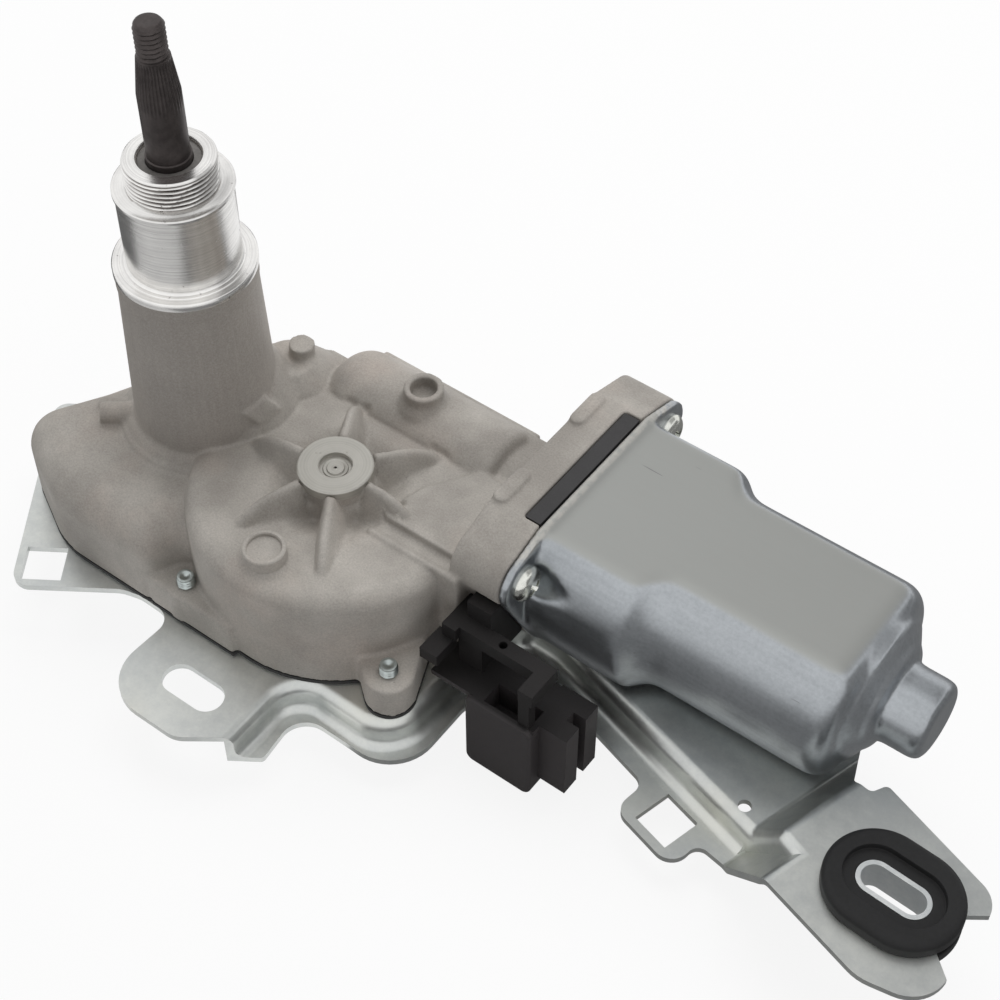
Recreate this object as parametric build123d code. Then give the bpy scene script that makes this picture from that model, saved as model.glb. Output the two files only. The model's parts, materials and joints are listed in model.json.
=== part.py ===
from build123d import *
import math
import os

os.makedirs("parts", exist_ok=True)

# Lengths are in millimetres and angles in degrees.
# Z = 0 is the underside of the bracket plate, and the Z axis is the output shaft's axis.
# X runs along the motor, away from the shaft.

# Bracket sheet
PLATE_T = 1.5
BEND_R = 1.5
BEND_TOP_R = 2.6
LIP_DROP = 7.0
EAR_RISE = 9.0
SLOPE_ANGLE = 52.0
SLOPE_AT = (146.4, 3.5)
SLOPE_TURN = -17.5
SLOT_L = 14.8
SLOT_W = 7.3
SLOT_AT = (34.0, -46.0)
CLIP_HOLE = 8.8
LEFT_HOLE_AT = (-13.6, -41.1)
LEFT_HOLE_TURN = 33.5
RIGHT_HOLE_AT = (126.8, -10.3)
RIGHT_HOLE_TURN = -14.8
DRAIN_R = 1.4
DRAIN_AT = (139.2, -2.2)

# Grommet and its sleeve in the raised ear
GROM_AT = (173.4, -7.5)
GROM_TURN = -2.6
GROM_L = 27.7
GROM_W = 21.6
GROM_GROOVE = 3.0
GROM_ABOVE = 3.7
GROM_BELOW = 3.6
FORK_W = 9.6
FORK_FLARE = 2.4
SLEEVE_L = 15.3
SLEEVE_W = 7.4
SLEEVE_WALL = 1.0

# Gear casing
WALL = 2.7
GASKET_T = 0.8
DRUM_AT = (38.0, -2.5)
DRUM_R = 31.5
DRUM_TOP = 27.7
DRUM_EDGE = 4.0
LOBE_TOP = 23.0
LOBE_EDGE = 8.0
SHELF_TOP = 25.7
SHELF_Y = 28.5
BOX_Y = -8.5
BOX_END = 73.5
BOSS_R = 7.8
BOSS_TOP = 32.8
DIMPLE_R = 3.3
RIB_W = 3.0
RIB_ANGLES = (3, 56, 119, 184, 246, 302)
RIB_REACH = (19.5, 22.3, 21.8, 21.6, 23.0, 24.5)
LOW_BOSS_AT = (38.9, -26.2)
LOW_BOSS_R = 4.8
LOW_BOSS_H = 3.0
STUD_AT = (11.0, 18.8)
STUD_R = 2.8
STUD_TOP = 35.0
HOLLOW_X = 39.8
HOLLOW_R = 4.3
HOLLOW_BORE_R = 2.9
HOLLOW_TOP = 35.2
TAB_TOP = 10.5
TAB_R = 5.4
SCREW_SPOTS = ((20.0, -31.2), (67.7, -23.6), (8.0, 23.0), (52.0, 39.0))

# Tower that carries the output shaft
TOWER_FOOT_R = 15.8
TOWER_HEAD_R = 14.1
COLLAR_R = 17.3
COLLAR_H = 2.2
FLARE = 1.4
RIM_Z = 66.8
RIM_R = 14.7
RIM_H = 3.2
BARREL_R = 11.8
SHOULDER_Z = 86.4
SHOULDER_R = 11.8
SHOULDER_H = 1.8
GROOVE_R = 11.2
NOSE_TOP = 93.5
NOSE_R = 9.1
NOSE_MOUTH_R = 6.2
NOSE_MOUTH_H = 2.0
NUB_R = 2.2
NUB_END = 24.0
NUB_TURN = 212.0

# Motor
AXIS_Y = 24.2
AXIS_Z = 20.5
TUBE_R = 11.0
TUBE_START = 16.5
TUBE_END = 62.5
NECK_R = 8.6
YOKE_X = 82.6
FRAME_X = 70.6
FLAT_H = 16.8
YOKE_R1 = 24.8
YOKE_R2 = 21.0
YOKE_WALL = 2.0
STEP_X = 106.0
STEP_RUN = 4.0
YOKE_END = 150.5
YOKE_EDGE = 4.5
MOUND_R = 15.5
MOUND_H = 4.2
POCKET_R = 9.3
POCKET_END = 165.0
EAR_OUT = 0.4
EAR_Z = 8.6
EAR_R = 6.3
CARD_T = 4.1
CARD_W = 35.0
PAD_Y = 13.0
PAD_L = 10.0
PAD_W = 3.4
PAD_H = 1.0

# Fasteners
SCREW_R = 2.0
SCREW_HEAD_R = 3.9
SCREW_HEAD_H = 2.6
SCREW_OUT = 2.3

# Drive inside the casing
RUN_FIT = 0.05
AIR = 0.3
WORM_R = 3.4
WHEEL_PITCH_R = 22.0
WHEEL_MODULE = 1.0
WHEEL_TEETH = 44
WHEEL_T = 7.0
WHEEL_HUB_R = 8.0
PIN_R = 3.5
CRANK_R = 7.5
CRANK_PIN_R = 3.0
MODULE = 1.25
PINION_TEETH = 12
SECTOR_TEETH = 24
ROD_T = 4.0
ROD_Z = 9.4
SWING_T = 2.5
SECTOR_AT_ANGLE = -100.0
SECTOR_PIN_R = 3.0
ROD_END_R = 6.2
SHAFT_R = 4.5
SHAFT_FOOT = 4.0
SHAFT_PLAIN_TOP = 108.5
TAPER_L = 7.8
TIP_L = 7.5
SHAFT_TIP_R = 3.0
SPINDLE_R = 4.2
SPINDLE_GAP = 0.5
BUSH_WALL = 1.6
BUSH_FOOT = 15.6

# Motor inside the yoke
ARM_SHAFT_R = 3.0
CORE_R = 14.0
CORE_X = 96.0
CORE_L = 34.0
CORE_SLOTS = 10
COIL_R = 12.6
COIL_L = 6.0
COMM_R = 8.6
COMM_X = 74.5
COMM_L = 12.0
MAGNET_T = 4.0
MAGNET_SPAN = 96.0
BEARING_L = 7.0
BEARING_R = 6.2

# Connector
PLUG_X0 = 82.7
PLUG_X1 = 99.0
PLUG_Y0 = -18.6
PLUG_Y1 = -5.0
PLUG_TOP = 9.2
PLUG_FOOT = -12.8
PLUG_WALL = 1.6
BLOCK_X1 = 105.6
BLOCK_Y0 = -15.4
BLOCK_Y1 = -4.6
BLOCK_FOOT = -9.3
GUARD_Z = 17.2
GUARD_T = 3.4

# Sizes used in one place each
SHEET_REACH = 240.0
GROM_ROUND = 1.6
GROM_FUNNEL = 1.4
DIMPLE_H = 2.2
GEAR_SLACK = 0.3
WHEEL_HUB_H = 1.5
BRUSH_W = 5.0
BRUSH_L = 9.0
SPRING_R = 1.7
MAGNET_SHIFT = 15.0
MAGNET_L = 26.0
STEM_X0 = 76.2
STEM_Y = -12.0
STEM_Z0 = 8.8
STEM_Z1 = 25.4
CARD_RIM = 1.7
YOKE_TONGUE = 30.0
PINS = 4
SNUG = 0.1
FRAME_RIM = 0.5
PLATEAU_H = 1.3
PAD_TOP_H = 0.6
POCKET_L = 14.0
CAN_CORNER = 3.0
NECK_SOFT = 8.0
POCKET_GAP = 0.5
CRANK_PIN_DEEP = 4.0

CASE_BASE = PLATE_T + GASKET_T
SHAFT_TAPER_TOP = SHAFT_PLAIN_TOP + TAPER_L
SHAFT_TIP = SHAFT_TAPER_TOP + TIP_L
EAR_Y = YOKE_R1 + EAR_OUT
STEM_IN = AXIS_Y - YOKE_R1 + YOKE_WALL + AIR
CHANNEL_R = YOKE_R1 - YOKE_WALL - AIR - CARD_RIM
SPRING_L = CHANNEL_R - COMM_R - BRUSH_L - 2 * AIR
PINION_R = MODULE * PINION_TEETH / 2
SECTOR_R = MODULE * SECTOR_TEETH / 2
SWING_R = PINION_R + SECTOR_R
SWING_Z = ROD_Z - AIR - SWING_T
SWING_TURN = 2 * math.degrees(math.asin(CRANK_R / SWING_R))
FRAME_H = FLAT_H + FRAME_RIM
EAR_TOP = PLATE_T + EAR_RISE
CARD_X = YOKE_X - CARD_T


def slab(sketch, z0, z1):
    return Pos(0, 0, z0) * extrude(sketch, z1 - z0)


def disc(at, r, z0, z1):
    return Pos(at[0], at[1], z0) * extrude(Circle(r), z1 - z0)


def tube(at, r_out, r_in, z0, z1):
    return Pos(at[0], at[1], z0) * extrude(Circle(r_out) - Circle(r_in), z1 - z0)


def block(x0, x1, y0, y1, z0, z1):
    middle = Pos((x0 + x1) / 2, (y0 + y1) / 2, (z0 + z1) / 2)
    return middle * Box(x1 - x0, y1 - y0, z1 - z0)


def cone(at, r0, r1, z0, z1):
    middle = Pos(at[0], at[1], (z0 + z1) / 2)
    return middle * Cone(r0, r1, z1 - z0)


def motor_plane(x):
    return Plane(origin=(x, AXIS_Y, AXIS_Z), x_dir=(0, 1, 0), z_dir=(1, 0, 0))


def along(sketch, x0, x1):
    return extrude(motor_plane(x0) * sketch, x1 - x0)


def outline(points, radii):
    return make_face(FilletPolyline(*points, radius=radii, close=True))


def polar(angle, r, at=(0, 0)):
    a = math.radians(angle)
    return (at[0] + r * math.cos(a), at[1] + r * math.sin(a))


def obround(length, width, at, turn):
    return Pos(at[0], at[1]) * Rot(0, 0, turn) * SlotOverall(length, width)


def flat_round(r, h, corner=0):
    shape = Circle(r) & Rectangle(2 * r, 2 * h)
    return fillet(shape.vertices(), corner) if corner else shape


# Spots that several pieces share
SECTOR_PIN_AT = polar(SECTOR_AT_ANGLE, SWING_R)
CRANK_AT = polar(SECTOR_AT_ANGLE + SWING_TURN / 2 - 90, CRANK_R, DRUM_AT)
EAR_SPOTS = ((-EAR_Y, EAR_Z), (EAR_Y, EAR_Z))


def bracket_edge():
    points = (
        (-45.2, -5.8),
        (-15.2, -49.6),
        (4.6, -36.2),
        (9.0, -35.1),
        (18.4, -35.3),
        (17.4, -57.3),
        (39.0, -57.3),
        (47.6, -51.0),
        (53.2, -47.2),
        (51.6, -34.2),
        (66.0, -34.3),
        (78.4, -34.9),
        (78.2, -13.0),
        (82.0, 1.0),
        (95.0, 0.9),
        (118.4, -5.9),
        (117.0, -14.2),
        (133.4, -18.7),
        (134.6, -11.0),
        (141.2, -12.0),
        (151.8, -18.3),
        (176.5, -25.6),
        (189.6, -23.2),
        (189.9, 3.2),
        (161.0, 12.8),
        (159.2, 9.6),
        (155.2, 10.2),
        (151.0, 22.0),
        (146.0, 33.0),
        (96.0, 44.0),
        (44.0, 46.0),
        (-16.0, 14.0),
    )
    radii = (3, 4, 8, 8, 4, 10.5, 6, 4, 1.2, 5.5, 20, 10.5, 8, 5, 8, 3, 3.5, 4, 2.5, 3, 2, 10, 8, 6,
             1.2, 1.4, 1.4, 8, 10, 10, 10, 10)
    return outline(points, radii)


def bracket_high():
    points = (
        (-60.0, 60.0),
        (-60.0, -70.0),
        (48.6, -70.0),
        (48.5, -31.3),
        (61.0, -31.5),
        (74.6, -32.0),
        (74.4, -13.0),
        (78.0, 8.6),
        (87.0, 8.4),
        (143.0, -6.9),
        (151.5, -9.8),
        (230.0, -38.0),
        (230.0, 60.0),
    )
    radii = (0, 0, 0, 7, 20, 9, 8, 4, 6, 5, 5, 0, 0)
    return outline(points, radii)


def under_ramp(z, rise, sheet_t):
    start = sheet_t * math.tan(math.radians(SLOPE_ANGLE / 2))
    run = rise / math.tan(math.radians(SLOPE_ANGLE))
    points = (
        (-SHEET_REACH, z),
        (start, z),
        (start + run, z + rise),
        (SHEET_REACH, z + rise),
        (SHEET_REACH, z - SHEET_REACH),
        (-SHEET_REACH, z - SHEET_REACH),
    )
    first = BEND_R + sheet_t
    second = BEND_R + PLATE_T - sheet_t
    n = polar(SLOPE_TURN, 1)
    plane = Plane(origin=(*SLOPE_AT, 0), x_dir=(*n, 0), z_dir=(n[1], -n[0], 0))
    return extrude(plane * outline(points, (0, first, second, 0, 0, 0)), SHEET_REACH, both=True)


def bend_edges(body, face, z):
    curves = face.edges()

    def on_bend(p):
        spot = Vertex(p.X, p.Y, 0)
        return abs(p.Z - z) < 0.02 and min(c.distance_to(spot) for c in curves) < 0.08

    return [e for e in body.edges() if all(on_bend(e @ t) for t in (0.02, 0.5, 0.98))]


def bracket():
    edge = bracket_edge()
    high = bracket_high()
    inner = offset(high, -PLATE_T)
    low_z = PLATE_T - LIP_DROP
    low_rise = EAR_RISE + LIP_DROP
    body = slab(edge & high, -LIP_DROP, EAR_TOP) & under_ramp(PLATE_T, EAR_RISE, 0)
    body += slab(edge, -LIP_DROP, EAR_TOP) & under_ramp(low_z, low_rise, 0)
    body -= slab(inner, -LIP_DROP, EAR_TOP) & under_ramp(0, EAR_RISE, PLATE_T)
    body -= under_ramp(-LIP_DROP, low_rise, PLATE_T)
    body = fillet(bend_edges(body, high, PLATE_T), BEND_TOP_R)
    body -= slab(obround(SLOT_L, SLOT_W, SLOT_AT, 0), -1, PLATE_T + 1)
    square = Rectangle(CLIP_HOLE, CLIP_HOLE)
    body -= slab(Pos(*LEFT_HOLE_AT) * Rot(0, 0, LEFT_HOLE_TURN) * square, -1, PLATE_T + 1)
    right = Pos(*RIGHT_HOLE_AT) * Rot(0, 0, RIGHT_HOLE_TURN) * square
    body -= slab(right, -LIP_DROP - 1, low_z + 1)
    body -= disc(DRAIN_AT, DRAIN_R, -1, PLATE_T + 1)
    for spot in SCREW_SPOTS:
        body -= disc(spot, SCREW_R + AIR, -1, PLATE_T + 1)
    seat = obround(GROM_L - 2 * GROM_GROOVE, GROM_W - 2 * GROM_GROOVE, GROM_AT, GROM_TURN)
    half = FORK_W / 2
    mouth = (GROM_L - GROM_GROOVE) / 2
    throat = Polyline(
        (0, -half), (mouth, -half), (mouth + 6, -half - FORK_FLARE * 2),
        (mouth + 6, half + FORK_FLARE * 2), (mouth, half), (0, half), close=True)
    throat = Pos(*GROM_AT) * Rot(0, 0, GROM_TURN) * make_face(throat)
    body -= slab(seat + throat, EAR_RISE - 1, EAR_TOP + 1)
    return body


def grommet():
    low = EAR_RISE - GROM_BELOW
    high = EAR_TOP + GROM_ABOVE
    waist = obround(GROM_L - 2 * GROM_GROOVE, GROM_W - 2 * GROM_GROOVE, GROM_AT, GROM_TURN)
    hole = obround(SLEEVE_L, SLEEVE_W, GROM_AT, GROM_TURN)
    full = obround(GROM_L, GROM_W, GROM_AT, GROM_TURN)
    top = slab(full, EAR_TOP, high)
    top = fillet(top.edges().group_by(Axis.Z)[-1], GROM_ROUND)
    foot = slab(full, low, EAR_RISE)
    foot = fillet(foot.edges().group_by(Axis.Z)[0], GROM_ROUND)
    body = top + foot + slab(waist, EAR_RISE, EAR_TOP) - slab(hole, low, high)
    funnel = obround(SLEEVE_L + 5, SLEEVE_W + 5, GROM_AT, GROM_TURN)
    return body - slab(funnel, high - GROM_FUNNEL, high)


def grommet_sleeve():
    low = EAR_RISE - GROM_BELOW - 0.4
    high = EAR_TOP + GROM_ABOVE - GROM_FUNNEL
    outer = obround(SLEEVE_L, SLEEVE_W, GROM_AT, GROM_TURN)
    inner = obround(SLEEVE_L - 2 * SLEEVE_WALL, SLEEVE_W - 2 * SLEEVE_WALL, GROM_AT, GROM_TURN)
    return slab(outer - inner, low, high)


def lobe_edge(inset):
    points = (
        (24.0, 16.0),
        (24.0, -24.0),
        (15.5, -28.0),
        (12.6, -35.2),
        (-13.0, -35.2),
        (-34.4, -23.6),
        (-24.5, -7.0),
        (-17.0, 9.0),
        (-4.0, 16.0),
    )
    radii = (0, 0, 5, 4, 22, 7, 14, 12, 6)
    edge = outline(points, radii)
    return offset(edge, -inset) if inset else edge


def back_edge(inset):
    x0 = inset
    y1 = SHELF_Y - inset
    low = Pos((x0 + 30) / 2, y1 / 2) * Rectangle(30 - x0, y1)
    x2 = TUBE_START + 4 + inset
    x1 = TUBE_END - inset
    y2 = AXIS_Y + TUBE_R - inset
    return low + Pos((x2 + x1) / 2, y2 / 2) * Rectangle(x1 - x2, y2)


def box_edge(inset):
    x1 = BOX_END - inset
    y0 = BOX_Y + inset
    y1 = AXIS_Y + NECK_R - inset
    return Pos((DRUM_AT[0] + x1) / 2, (y0 + y1) / 2) * Rectangle(x1 - DRUM_AT[0], y1 - y0)


def drum_edge(inset):
    return Pos(*DRUM_AT) * Circle(DRUM_R - inset)


def tab_edge():
    front = Pos(24.0, -28.2) * Rectangle(22.8, 14.0)
    right = make_hull([*(Pos(*SCREW_SPOTS[1]) * Circle(TAB_R)).edges(), *(Pos(56, -8) * Circle(10)).edges()])
    back = make_hull([*(Pos(*SCREW_SPOTS[3]) * Circle(TAB_R)).edges(), *(Pos(52, 28) * Circle(9)).edges()])
    return front + right + back


def frame_profile(grow):
    ears = [Pos(*spot) * Circle(EAR_R) for spot in EAR_SPOTS]
    can = flat_round(YOKE_R1 + grow, FLAT_H + grow)
    return make_hull([*can.edges(), *ears[0].edges(), *ears[1].edges()])


def casing_drum():
    drum = slab(drum_edge(0), CASE_BASE, DRUM_TOP)
    drum = fillet(drum.edges().group_by(Axis.Z)[-1], DRUM_EDGE)
    lobe = slab(lobe_edge(0), CASE_BASE, LOBE_TOP)
    lobe = fillet(lobe.edges().group_by(Axis.Z)[-1], LOBE_EDGE)
    back = slab(back_edge(0), CASE_BASE, SHELF_TOP)
    box = slab(box_edge(0), CASE_BASE, DRUM_TOP)
    tabs = slab(tab_edge(), CASE_BASE, TAB_TOP)
    plateau = slab(outline(((53, -4.3), (51.5, 1), (53, 7), (60, 17.5), (72, 17.5), (72, -4.3)), 1.0),
                   DRUM_TOP - 2, DRUM_TOP + PLATEAU_H)
    plateau = chamfer(plateau.edges().group_by(Axis.Z)[-1], 0.6)
    pad = slab(outline(((8, 0.3), (8, 7.4), (14.8, 6.6), (14.2, 0.3)), 0.4), DRUM_TOP - 3, DRUM_TOP + PAD_TOP_H)
    return drum + lobe + back + box + tabs + plateau + pad


def casing_tower():
    foot = LOBE_TOP - 4
    body = cone((0, 0), TOWER_FOOT_R, TOWER_HEAD_R, foot, RIM_Z - RIM_H)
    body += disc((0, 0), COLLAR_R + FLARE, foot, LOBE_TOP + COLLAR_H / 2)
    body += disc((0, 0), COLLAR_R, foot, LOBE_TOP + COLLAR_H)
    body += cone((0, 0), COLLAR_R - 0.4, TOWER_FOOT_R - 1, LOBE_TOP + COLLAR_H, LOBE_TOP + COLLAR_H + FLARE)
    body += disc((0, 0), RIM_R, RIM_Z - RIM_H, RIM_Z)
    body += disc((0, 0), BARREL_R - 0.3, RIM_Z, SHOULDER_Z - SHOULDER_H)
    body += disc((0, 0), SHOULDER_R, SHOULDER_Z - SHOULDER_H, SHOULDER_Z)
    nose = disc((0, 0), NOSE_R, SHOULDER_Z, NOSE_TOP)
    body += chamfer(nose.edges().group_by(Axis.Z)[-1], 0.7)
    return body


def casing_nub():
    n = polar(NUB_TURN, 1)
    plane = Plane(origin=(n[0] * 12, n[1] * 12, LOBE_TOP - 0.9), z_dir=(n[0], n[1], 0))
    return extrude(plane * Circle(NUB_R), NUB_END - 12)


def casing_rib(angle, reach):
    h = BOSS_TOP - DRUM_TOP - 0.8
    profile = outline(
        ((0, -3), (reach, -3), (reach, 0.3), (reach - 3.5, h * 0.8), (BOSS_R - 1, h), (0, h)),
        (0, 0, 0, 2.5, 0, 0),
    )
    plane = Plane(origin=(DRUM_AT[0], DRUM_AT[1], DRUM_TOP), x_dir=(*polar(angle, 1), 0),
                  z_dir=(*polar(angle - 90, 1), 0))
    side = extrude(plane * profile, RIB_W, both=True)
    section = outline(((-RIB_W * 0.9, -3), (RIB_W * 0.9, -3), (RIB_W * 0.42, h), (-RIB_W * 0.42, h)),
                      (0, 0, 1.0, 1.0))
    facing = Plane(origin=(DRUM_AT[0], DRUM_AT[1], DRUM_TOP), x_dir=(*polar(angle + 90, 1), 0),
                   z_dir=(*polar(angle, 1), 0))
    return side & extrude(facing * section, reach)


def casing_frame():
    body = along(frame_profile(FRAME_RIM), FRAME_X, YOKE_X)
    body += along(Circle(NECK_R), TUBE_END - 4, FRAME_X + 1)
    top = AXIS_Z + FRAME_H
    for side in (-1, 1):
        pad = block(FRAME_X, FRAME_X + PAD_W, AXIS_Y + side * PAD_Y - PAD_L / 2,
                    AXIS_Y + side * PAD_Y + PAD_L / 2, top - 2, top + PAD_H)
        body += fillet(pad.edges().filter_by(Axis.Z), PAD_W / 2 - 0.1)
    return body


def worm_tube():
    body = along(Circle(TUBE_R), TUBE_START, TUBE_END)
    left = fillet(body.edges().group_by(Axis.X)[0], 6.0)
    return fillet(left.edges().group_by(Axis.X)[-1], 2.5)


def casing_hollows():
    drum = slab(drum_edge(WALL), 0, DRUM_TOP - WALL)
    lobe = slab(lobe_edge(WALL), 0, LOBE_TOP - WALL)
    lobe = fillet(lobe.edges().group_by(Axis.Z)[-1], LOBE_EDGE - WALL)
    back = slab(back_edge(WALL) + box_edge(WALL), 0, AXIS_Z - TUBE_R + 2)
    worm = along(Circle(WORM_R + 4.4), TUBE_START + 4.5, TUBE_END - 5)
    frame = along(flat_round(YOKE_R1 - YOKE_WALL, FLAT_H - YOKE_WALL), FRAME_X + WALL, YOKE_X)
    bush = along(Circle(BEARING_R), TUBE_END - 6, FRAME_X + WALL + 1)
    return drum + lobe + back + worm + frame + bush


def gear_casing():
    body = casing_drum() + worm_tube() + casing_frame() + casing_tower() + casing_nub()
    body += disc(DRUM_AT, BOSS_R, DRUM_TOP - 2, BOSS_TOP)
    body += cone(DRUM_AT, BOSS_R + FLARE, BOSS_R, DRUM_TOP, DRUM_TOP + FLARE)
    body += cone((HOLLOW_X, AXIS_Y), HOLLOW_R + FLARE, HOLLOW_R, AXIS_Z + TUBE_R - 0.8, AXIS_Z + TUBE_R + FLARE)
    for angle, reach in zip(RIB_ANGLES, RIB_REACH):
        body += casing_rib(angle, reach)
    body += cone(LOW_BOSS_AT, LOW_BOSS_R + 0.4, LOW_BOSS_R - 0.5, DRUM_TOP - 1, DRUM_TOP + LOW_BOSS_H)
    body -= disc(LOW_BOSS_AT, LOW_BOSS_R - 1.3, DRUM_TOP + LOW_BOSS_H - 0.5, DRUM_TOP + LOW_BOSS_H + 1)
    body += disc(STUD_AT, STUD_R, SHELF_TOP - 2, STUD_TOP)
    body += disc((HOLLOW_X, AXIS_Y), HOLLOW_R, AXIS_Z + TUBE_R - 3, HOLLOW_TOP)
    body -= casing_hollows()
    body += disc((0, 0), SHAFT_R + BUSH_WALL + 2.4, BUSH_FOOT + 1, LOBE_TOP)
    body += disc(DRUM_AT, PIN_R + 3, AXIS_Z + WHEEL_T / 2 + AIR, DRUM_TOP)
    for spot in SCREW_SPOTS:
        body += disc(spot, SCREW_R + 2.4, CASE_BASE, TAB_TOP)
    body -= disc((0, 0), SHAFT_R + BUSH_WALL, 0, NOSE_TOP)
    body -= disc((0, 0), NOSE_MOUTH_R, NOSE_TOP - NOSE_MOUTH_H, NOSE_TOP + 1)
    body -= disc(DRUM_AT, PIN_R, 0, DRUM_TOP + 1)
    body -= disc(DRUM_AT, DIMPLE_R, BOSS_TOP - DIMPLE_H, BOSS_TOP + 1)
    body -= disc((HOLLOW_X, AXIS_Y), HOLLOW_BORE_R, AXIS_Z + TUBE_R - 1, HOLLOW_TOP + 1)
    body -= block(CARD_X, YOKE_X, AXIS_Y - CARD_W / 2, AXIS_Y + CARD_W / 2, AXIS_Z, AXIS_Z + FRAME_H + 1)
    body -= block(STEM_X0, YOKE_X + 1, STEM_Y, STEM_IN, STEM_Z0, STEM_Z1)
    for spot in SCREW_SPOTS:
        body -= disc(spot, SCREW_R, 0, TAB_TOP + SCREW_OUT)
    for spot in EAR_SPOTS:
        body -= along(Pos(*spot) * Circle(SCREW_R), FRAME_X, YOKE_X)
    return body


def base_gasket():
    outer = drum_edge(0) + lobe_edge(0) + back_edge(0) + box_edge(0) + tab_edge()
    inner = drum_edge(WALL) + lobe_edge(WALL) + back_edge(WALL) + box_edge(WALL)
    body = slab(outer - inner, PLATE_T, CASE_BASE)
    for spot in SCREW_SPOTS:
        body -= disc(spot, SCREW_R + AIR, 0, CASE_BASE + 1)
    return body


def bracket_screws():
    screws = []
    for spot in SCREW_SPOTS:
        shank = disc(spot, SCREW_R, -0.5, TAB_TOP + SCREW_OUT)
        shank = chamfer(shank.edges().group_by(Axis.Z)[-1], 0.5)
        head = disc(spot, SCREW_HEAD_R, -SCREW_HEAD_H, 0)
        head = fillet(head.edges().group_by(Axis.Z)[0], 1.2)
        screws.append(shank + head)
    return Compound(children=screws)


def yoke_bulk(skin):
    sections = [flat_round(r - skin, FLAT_H - skin, CAN_CORNER - skin) for r in (YOKE_R1, YOKE_R2)]
    end = STEP_X + STEP_RUN
    neck = loft([motor_plane(STEP_X) * sections[0].face(), motor_plane(end) * sections[1].face()])
    main = along(sections[1], end, YOKE_END - skin)
    main = fillet(main.edges().group_by(Axis.X)[-1], YOKE_EDGE - skin)
    body = along(sections[0], YOKE_X, STEP_X) + neck + main
    body = fillet([e for e in body.edges() if all(abs((e @ t).X - end) < 0.01 for t in (0.1, 0.9))], NECK_SOFT)
    deep = YOKE_X + YOKE_WALL + SCREW_HEAD_H
    for spot in EAR_SPOTS:
        round_head = Pos(*spot) * Circle(SCREW_HEAD_R + POCKET_GAP + skin)
        body -= along(round_head, YOKE_X - 1, deep)
        wide = motor_plane(deep) * round_head.face()
        narrow = motor_plane(YOKE_X + POCKET_L + skin) * (Pos(*spot) * Circle(1 + skin)).face()
        body -= loft([wide, narrow])
    return body


def motor_yoke():
    w = YOKE_WALL
    inside = along(flat_round(YOKE_R1 - w, FLAT_H - w), YOKE_X - 1, YOKE_X + w + 1)
    body = yoke_bulk(0) + (along(frame_profile(FRAME_RIM), YOKE_X, YOKE_X + w) - inside)
    mound = along(Circle(MOUND_R), YOKE_END - 1, YOKE_END + MOUND_H)
    body += chamfer(mound.edges().group_by(Axis.X)[-1], length=MOUND_H - 0.8, length2=4.0)
    pocket = along(Circle(POCKET_R), YOKE_END, POCKET_END)
    body += fillet(pocket.edges().group_by(Axis.X)[-1], 2.0)
    body -= yoke_bulk(w)
    body -= along(Circle(POCKET_R - w), YOKE_END - w - 1, POCKET_END - w)
    for spot in EAR_SPOTS:
        body -= along(Pos(*spot) * Circle(SCREW_R + AIR), YOKE_X - 1, YOKE_X + w + 1)
    return body


def yoke_screws():
    screws = []
    seat = YOKE_X + YOKE_WALL
    for spot in EAR_SPOTS:
        at = Pos(*spot)
        shank = along(at * Circle(SCREW_R), FRAME_X + 1, seat)
        head = along(at * Circle(SCREW_HEAD_R), seat, seat + SCREW_HEAD_H)
        screws.append(shank + fillet(head.edges().group_by(Axis.X)[-1], 1.4))
    return Compound(children=screws)


def magnet(side):
    outer = FLAT_H - YOKE_WALL
    ring = (Circle(YOKE_R2 - YOKE_WALL) - Circle(YOKE_R2 - YOKE_WALL - MAGNET_T)) & Rectangle(60, 2 * outer)
    wedge = make_face(Polyline((0, 0), polar(-MAGNET_SPAN / 2, 60), polar(MAGNET_SPAN / 2, 60), close=True))
    shape = Rot(0, 0, 0 if side > 0 else 180) * (ring & wedge)
    return along(shape, CORE_X + MAGNET_SHIFT, CORE_X + MAGNET_SHIFT + MAGNET_L)


def rear_bearing():
    x0 = POCKET_END - YOKE_WALL - 1 - BEARING_L
    return along(Circle(POCKET_R - YOKE_WALL) - Circle(ARM_SHAFT_R + RUN_FIT), x0, x0 + BEARING_L)


def front_bearing():
    return along(Circle(BEARING_R) - Circle(ARM_SHAFT_R + RUN_FIT), TUBE_END - 5, FRAME_X + 1)


def brush_card():
    skin = YOKE_WALL + AIR
    shape = flat_round(YOKE_R1 - skin, FLAT_H - skin) - Circle(COMM_R + 1.5)
    shape -= Rectangle(2 * CHANNEL_R, BRUSH_W + 2 * AIR)
    plate = along(shape, CARD_X, YOKE_X - AIR)
    half = CARD_W / 2 - AIR
    tongue = block(CARD_X + AIR, YOKE_X - AIR, AXIS_Y - half, AXIS_Y + half, YOKE_TONGUE, AXIS_Z + FRAME_H - 0.3)
    return plate + tongue


def carbon_brush(side):
    y = COMM_R + AIR + BRUSH_L / 2
    brush = Pos(side * y, 0) * Rectangle(BRUSH_L, BRUSH_W)
    return along(brush, YOKE_X - AIR - BRUSH_W, YOKE_X - AIR)


def brush_spring(side):
    y0 = AXIS_Y + side * (COMM_R + AIR + BRUSH_L)
    ring = Circle(SPRING_R) - Circle(SPRING_R - 0.5)
    plane = Plane(origin=(YOKE_X - AIR - BRUSH_W / 2, y0, AXIS_Z), x_dir=(1, 0, 0), z_dir=(0, side, 0))
    return extrude(plane * ring, SPRING_L)


def armature_shaft():
    body = along(Circle(ARM_SHAFT_R), TUBE_START + 6, POCKET_END - YOKE_WALL - 0.6)
    body += along(Circle(WORM_R), TUBE_START + 7.5, TUBE_END - 7)
    return body


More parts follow.
